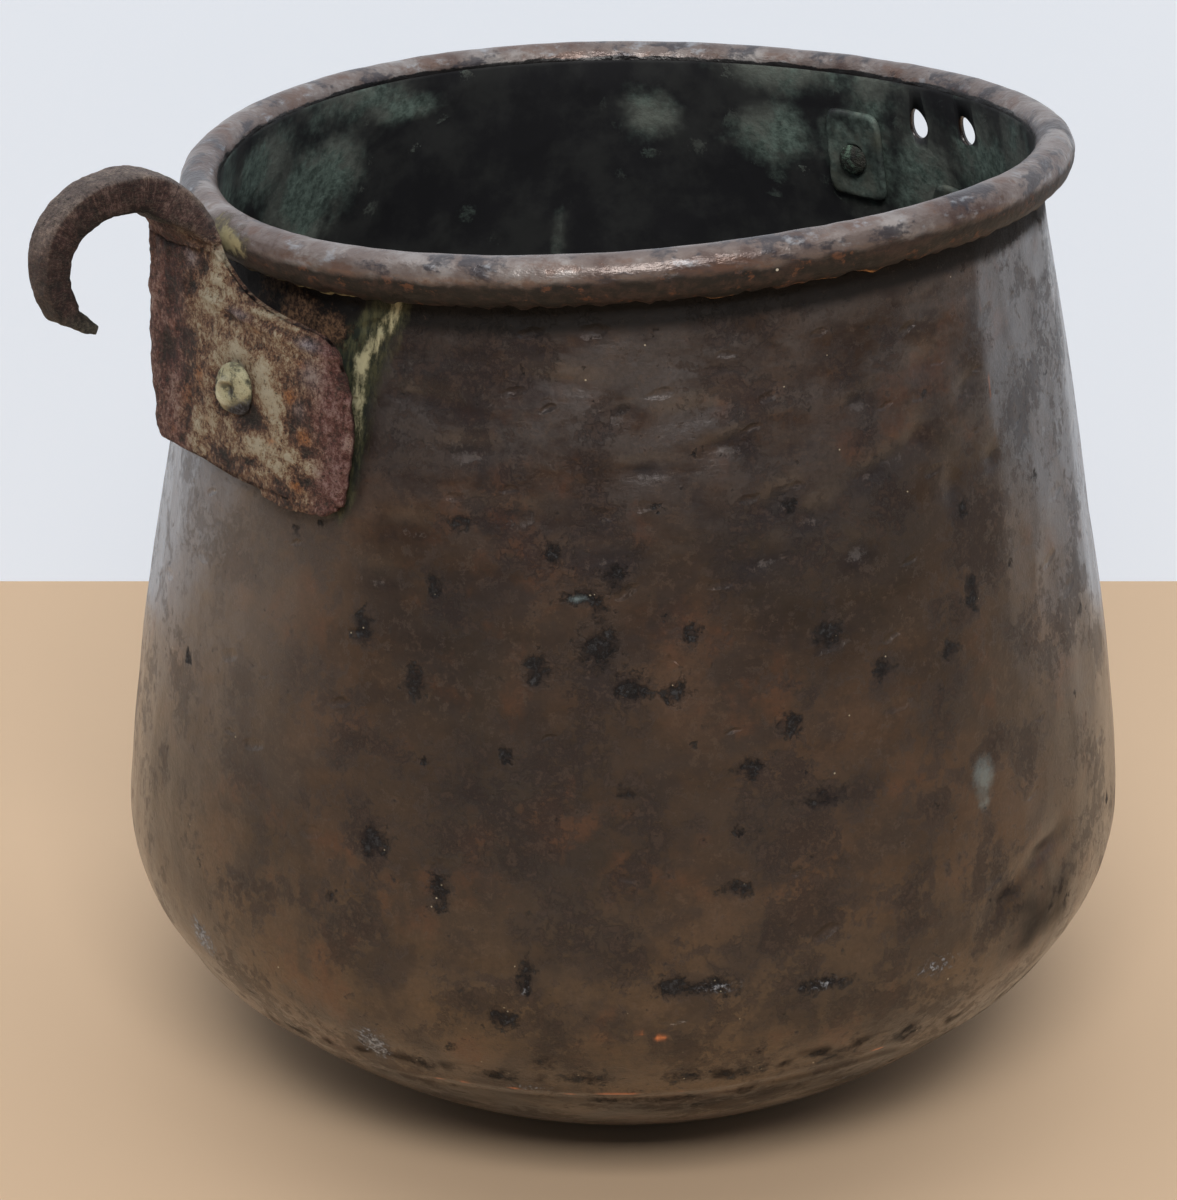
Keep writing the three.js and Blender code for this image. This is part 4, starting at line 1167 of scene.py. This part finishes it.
def rivet_mesh(name, rivet, head_seat, tail_seat, slope, material, rolled):
    """A rivet in one piece, its head beaten over outside and its tail clenched inside."""
    head, head_high, shank = rivet["head"], rivet["head_high"], rivet["shank"]
    tail_shape = ((0, 1), (0.3, 0.97), (0.55, 0.86), (0.8, 0.62), (0.95, 0.36), (1, 0.2), (0.97, 0.04), (0.9, 0))
    dome = np.linspace(0, math.pi / 2, 26)[1:-1]
    head_shape = [(0.92, 0), (0.98, 0.06), (1, 0.22), *zip(np.cos(dome), 0.22 + 0.78 * np.sin(dome) ** 0.8), (0, 1)]
    line = [(rivet["tail"] * a, tail_seat - rivet["tail_high"] * h) for a, h in tail_shape]
    line += [(shank, tail_seat), (shank, head_seat)] + [(head * a, head_seat + head_high * h) for a, h in head_shape]
    mesh, _ = turned(name, line, 80, material)
    points = points_of(mesh)
    across = np.hypot(points[:, 0], points[:, 1])
    turn = np.arctan2(points[:, 1], points[:, 0])
    seed = abs(rivet["at"]) / 10
    squash = 1 + 0.05 * np.cos(2 * turn + seed) + 0.05 * wobble(points, 4, seed)
    points[:, :2] *= np.where(across > shank + 0.2, squash, 1)[:, None]
    on_head = points[:, 2] > head_seat + 0.4
    share = across / head
    flat = on_head * rolled * 0.5 * np.clip(1 - share, 0, 1)
    points[:, 2] += on_head * (wobble(points, 2.2, seed + 1) * 0.3 + wobble(points, 0.9, seed + 2) * 0.16) - flat

    # A lip rolled over from the top round the left, a pit inside it, and a chipped lower right
    left = np.clip(np.cos(turn - math.radians(160)) * 1.6 + 0.7, 0, 1)
    lip = hump((share - 0.5 + 0.12 * np.cos(turn - math.radians(100))) / 0.13) * left
    pit = hump((points[:, 0] - 0.6) / 1.2, (points[:, 1] + 0.2) / 1.9)
    chip = np.clip((share - 0.35) * 2, 0, 1) * np.clip(np.cos(turn - math.radians(-62)) * 2 - 0.9, 0, 1)
    points[:, 2] += on_head * rolled * (lip * 1.1 - pit * 1.0 - chip * 0.9)
    paint(mesh, lip=lip * rolled * on_head, shade=np.maximum(pit * 0.6, chip) * rolled * on_head)

    # On the wall, square to it
    turn = math.radians(rivet["at"])
    along = Vector((math.cos(turn), math.sin(turn), 0))
    away = Vector((math.sin(turn), -math.cos(turn), -slope)).normalized()
    axes = np.array([along, away.cross(along).normalized(), away])
    set_points(mesh, points @ axes + on_wall(turn, np.array([rivet["height"]]), 0)[0])
    return mesh


def plate_mesh(name, plate, rivet, depth):
    """A small plate beaten to the wall's curve inside the pot, its edge raised a little and its hole for the rivet."""
    columns = 96
    around = np.linspace(0, 2 * math.pi, columns, endpoint=False)
    power = plate["corner"]
    reach = (np.abs(np.cos(around)) ** power + np.abs(np.sin(around)) ** power) ** (-1 / power)
    face = np.linspace(0, 1, 16)
    points = []
    for share, side in [(share, 1) for share in face] + [(share, -1) for share in face[::-1][1:-1]]:
        body = np.clip(1 - share ** 12, 0, 1) ** 0.5
        across, up = (
            plate["hole"] * way * (1 - share) + size / 2 * reach * way * share
            for way, size in ((np.cos(around), plate["wide"]), (np.sin(around), plate["high"])))
        raised = 0.25 * hump((share - 0.86) / 0.1) * (side > 0)
        out_by = -(depth + plate["thick"] / 2) - side * (body * plate["thick"] / 2 + raised)
        rough = wobble(np.stack([across, up, 0 * up + rivet["at"]], 1), 3, 2) * 0.25 * (side > 0)
        turn = math.radians(rivet["at"]) - across / RIM_RADIUS
        points.append(on_wall(turn, rivet["height"] + up, out_by - rough))
    return mesh_of(name, np.concatenate(points), ring_faces(len(points), columns, closed_rows=True))


def make_pot():
    sheet = add_piece("pot_sheet", punch(turned_out(pot_sheet())), [COPPER, RIM, LINING])
    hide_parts("pot_body")
    ear = add_piece("ear_forging", ear_mesh(), [EAR_IRON])
    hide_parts("ear_hook")

    face_of_ear = plate_middle(EAR_RIVET["height"]) + EAR_THICK / 2
    head_on_ear = float(face_of_ear + GAP - wall_radius(math.radians(EAR_AT), EAR_RIVET["height"]))
    riveted = [
        ("ear_rivet", EAR_RIVET, head_on_ear, 1, EAR_LEAN, RIVET_OLIVE, 0.9, "ear_rove", EAR_ROVE),
        ("patch_rivet", PATCH_RIVET, 0.4, 0, wall_slope(PATCH_RIVET), RIVET_GREEN, 0, "patch_plate", PATCH_PLATE),
        ("lost_ear_rivet", LOST_EAR_RIVET, 0.5, 0, wall_slope(LOST_EAR_RIVET), RIVET_GREEN, 0, "lost_ear_rove",
         LOST_EAR_ROVE),
    ]
    for node, rivet, head_seat, room, slope, material, rolled, _, plate in riveted:
        bulge = plate["wide"] ** 2 / 8 / RIM_RADIUS
        tail_seat = -(SHEET + GAP + bulge + GAP + plate["thick"] + GAP + room)
        mesh = rivet_mesh(node + "_beaten", rivet, head_seat, tail_seat, slope, material, rolled)
        piece = add_piece(node + "_beaten", mesh, [material])
        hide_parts(node)
    for _, rivet, *_, node, plate in riveted:
        mesh = plate_mesh(node + "_beaten", plate, rivet, SHEET + GAP + GAP)
        piece = add_piece(node + "_beaten", mesh, [PLATE_GREEN])
        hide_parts(node)

    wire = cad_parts["rim_wire"]
    wire.data.materials.clear()
    wire.data.materials.append(WIRE_IRON)


# ---- stage, light and camera ----

def stage_plane(name, paint_name, corners, colour, glow):
    """A plane in plain matt paint that can't be seen from behind. Its colour and glow are linear numbers."""
    look = Look(paint_name)
    for socket, value in (("Roughness", 0.9), ("Specular IOR Level", 0.1), ("Emission Strength", 1)):
        look.shader.inputs[socket].default_value = value
    look.shader.inputs["Base Color"].default_value = (*colour, 1)
    look.shader.inputs["Emission Color"].default_value = (*glow, 1)
    clear, behind, choose = (
        look.tree.nodes.new("ShaderNode" + kind) for kind in ("BsdfTransparent", "NewGeometry", "MixShader"))
    for place, socket in enumerate((behind.outputs["Backfacing"], look.shader.outputs[0], clear.outputs[0])):
        look.tree.links.new(socket, choose.inputs[place])
    look.tree.links.new(choose.outputs[0], look.tree.nodes["Material Output"].inputs[0])
    mesh = bpy.data.meshes.new(name)
    mesh.from_pydata(corners, [], [(0, 1, 2, 3)])
    mesh.materials.append(look.material)
    new_object(name, mesh)


def soft_light(name, place, aim, wide, high, watts):
    lamp = bpy.data.lights.new(name, "AREA")
    lamp.shape = "RECTANGLE"
    lamp.size, lamp.size_y, lamp.energy, lamp.color = wide, high, watts, (1, 0.98, 0.95)
    holder = new_object(name, lamp)
    holder.location = place
    holder.rotation_euler = (Vector(aim) - Vector(place)).to_track_quat("-Z", "Y").to_euler()


def make_stage():
    """A sheet of paper in front of a white wall, in metres, with light from above and from high in front."""
    left, right, front, back, top = -3, 3, -3, 0.292, 3
    floor = [(left, front, 0), (right, front, 0), (right, back, 0), (left, back, 0)]
    wall = [(left, back, 0), (right, back, 0), (right, back, top), (left, back, top)]
    stage_plane("floor", "paper_floor", floor, srgb(214, 186, 156), (0, 0, 0))
    stage_plane("wall", "white_wall", wall, (0.4, 0.4, 0.4), (0.45, 0.505, 0.58))
    soft_light("ceiling", (0, -0.1, 1.8), (0, -0.1, 0), 2.4, 1.4, 14)
    soft_light("high_front", (0.02, -1.75, 1.8), (0, 0, 0.1), 1.2, 0.6, 36)
    world = bpy.data.worlds.new("room")
    bpy.context.scene.world = world
    world.use_nodes = True
    background = world.node_tree.nodes["Background"]
    background.inputs[0].default_value = (0.86, 0.92, 1, 1)
    background.inputs[1].default_value = 0.14


def make_camera():
    """The photograph's camera: 3600 pixels of focal length in a frame 1200 pixels high."""
    lens = bpy.data.cameras.new("photo_camera")
    lens.lens = 108
    lens.sensor_width = 36
    lens.sensor_fit = "AUTO"
    camera = new_object("photo_camera", lens)
    camera.location = (-0.0085, -0.824, 0.455)
    camera.rotation_euler = Euler((math.radians(67.52), 0, 0))
    bpy.context.scene.camera = camera


make_camera()
make_pot()
make_stage()
bpy.context.scene.view_settings.view_transform = "Standard"
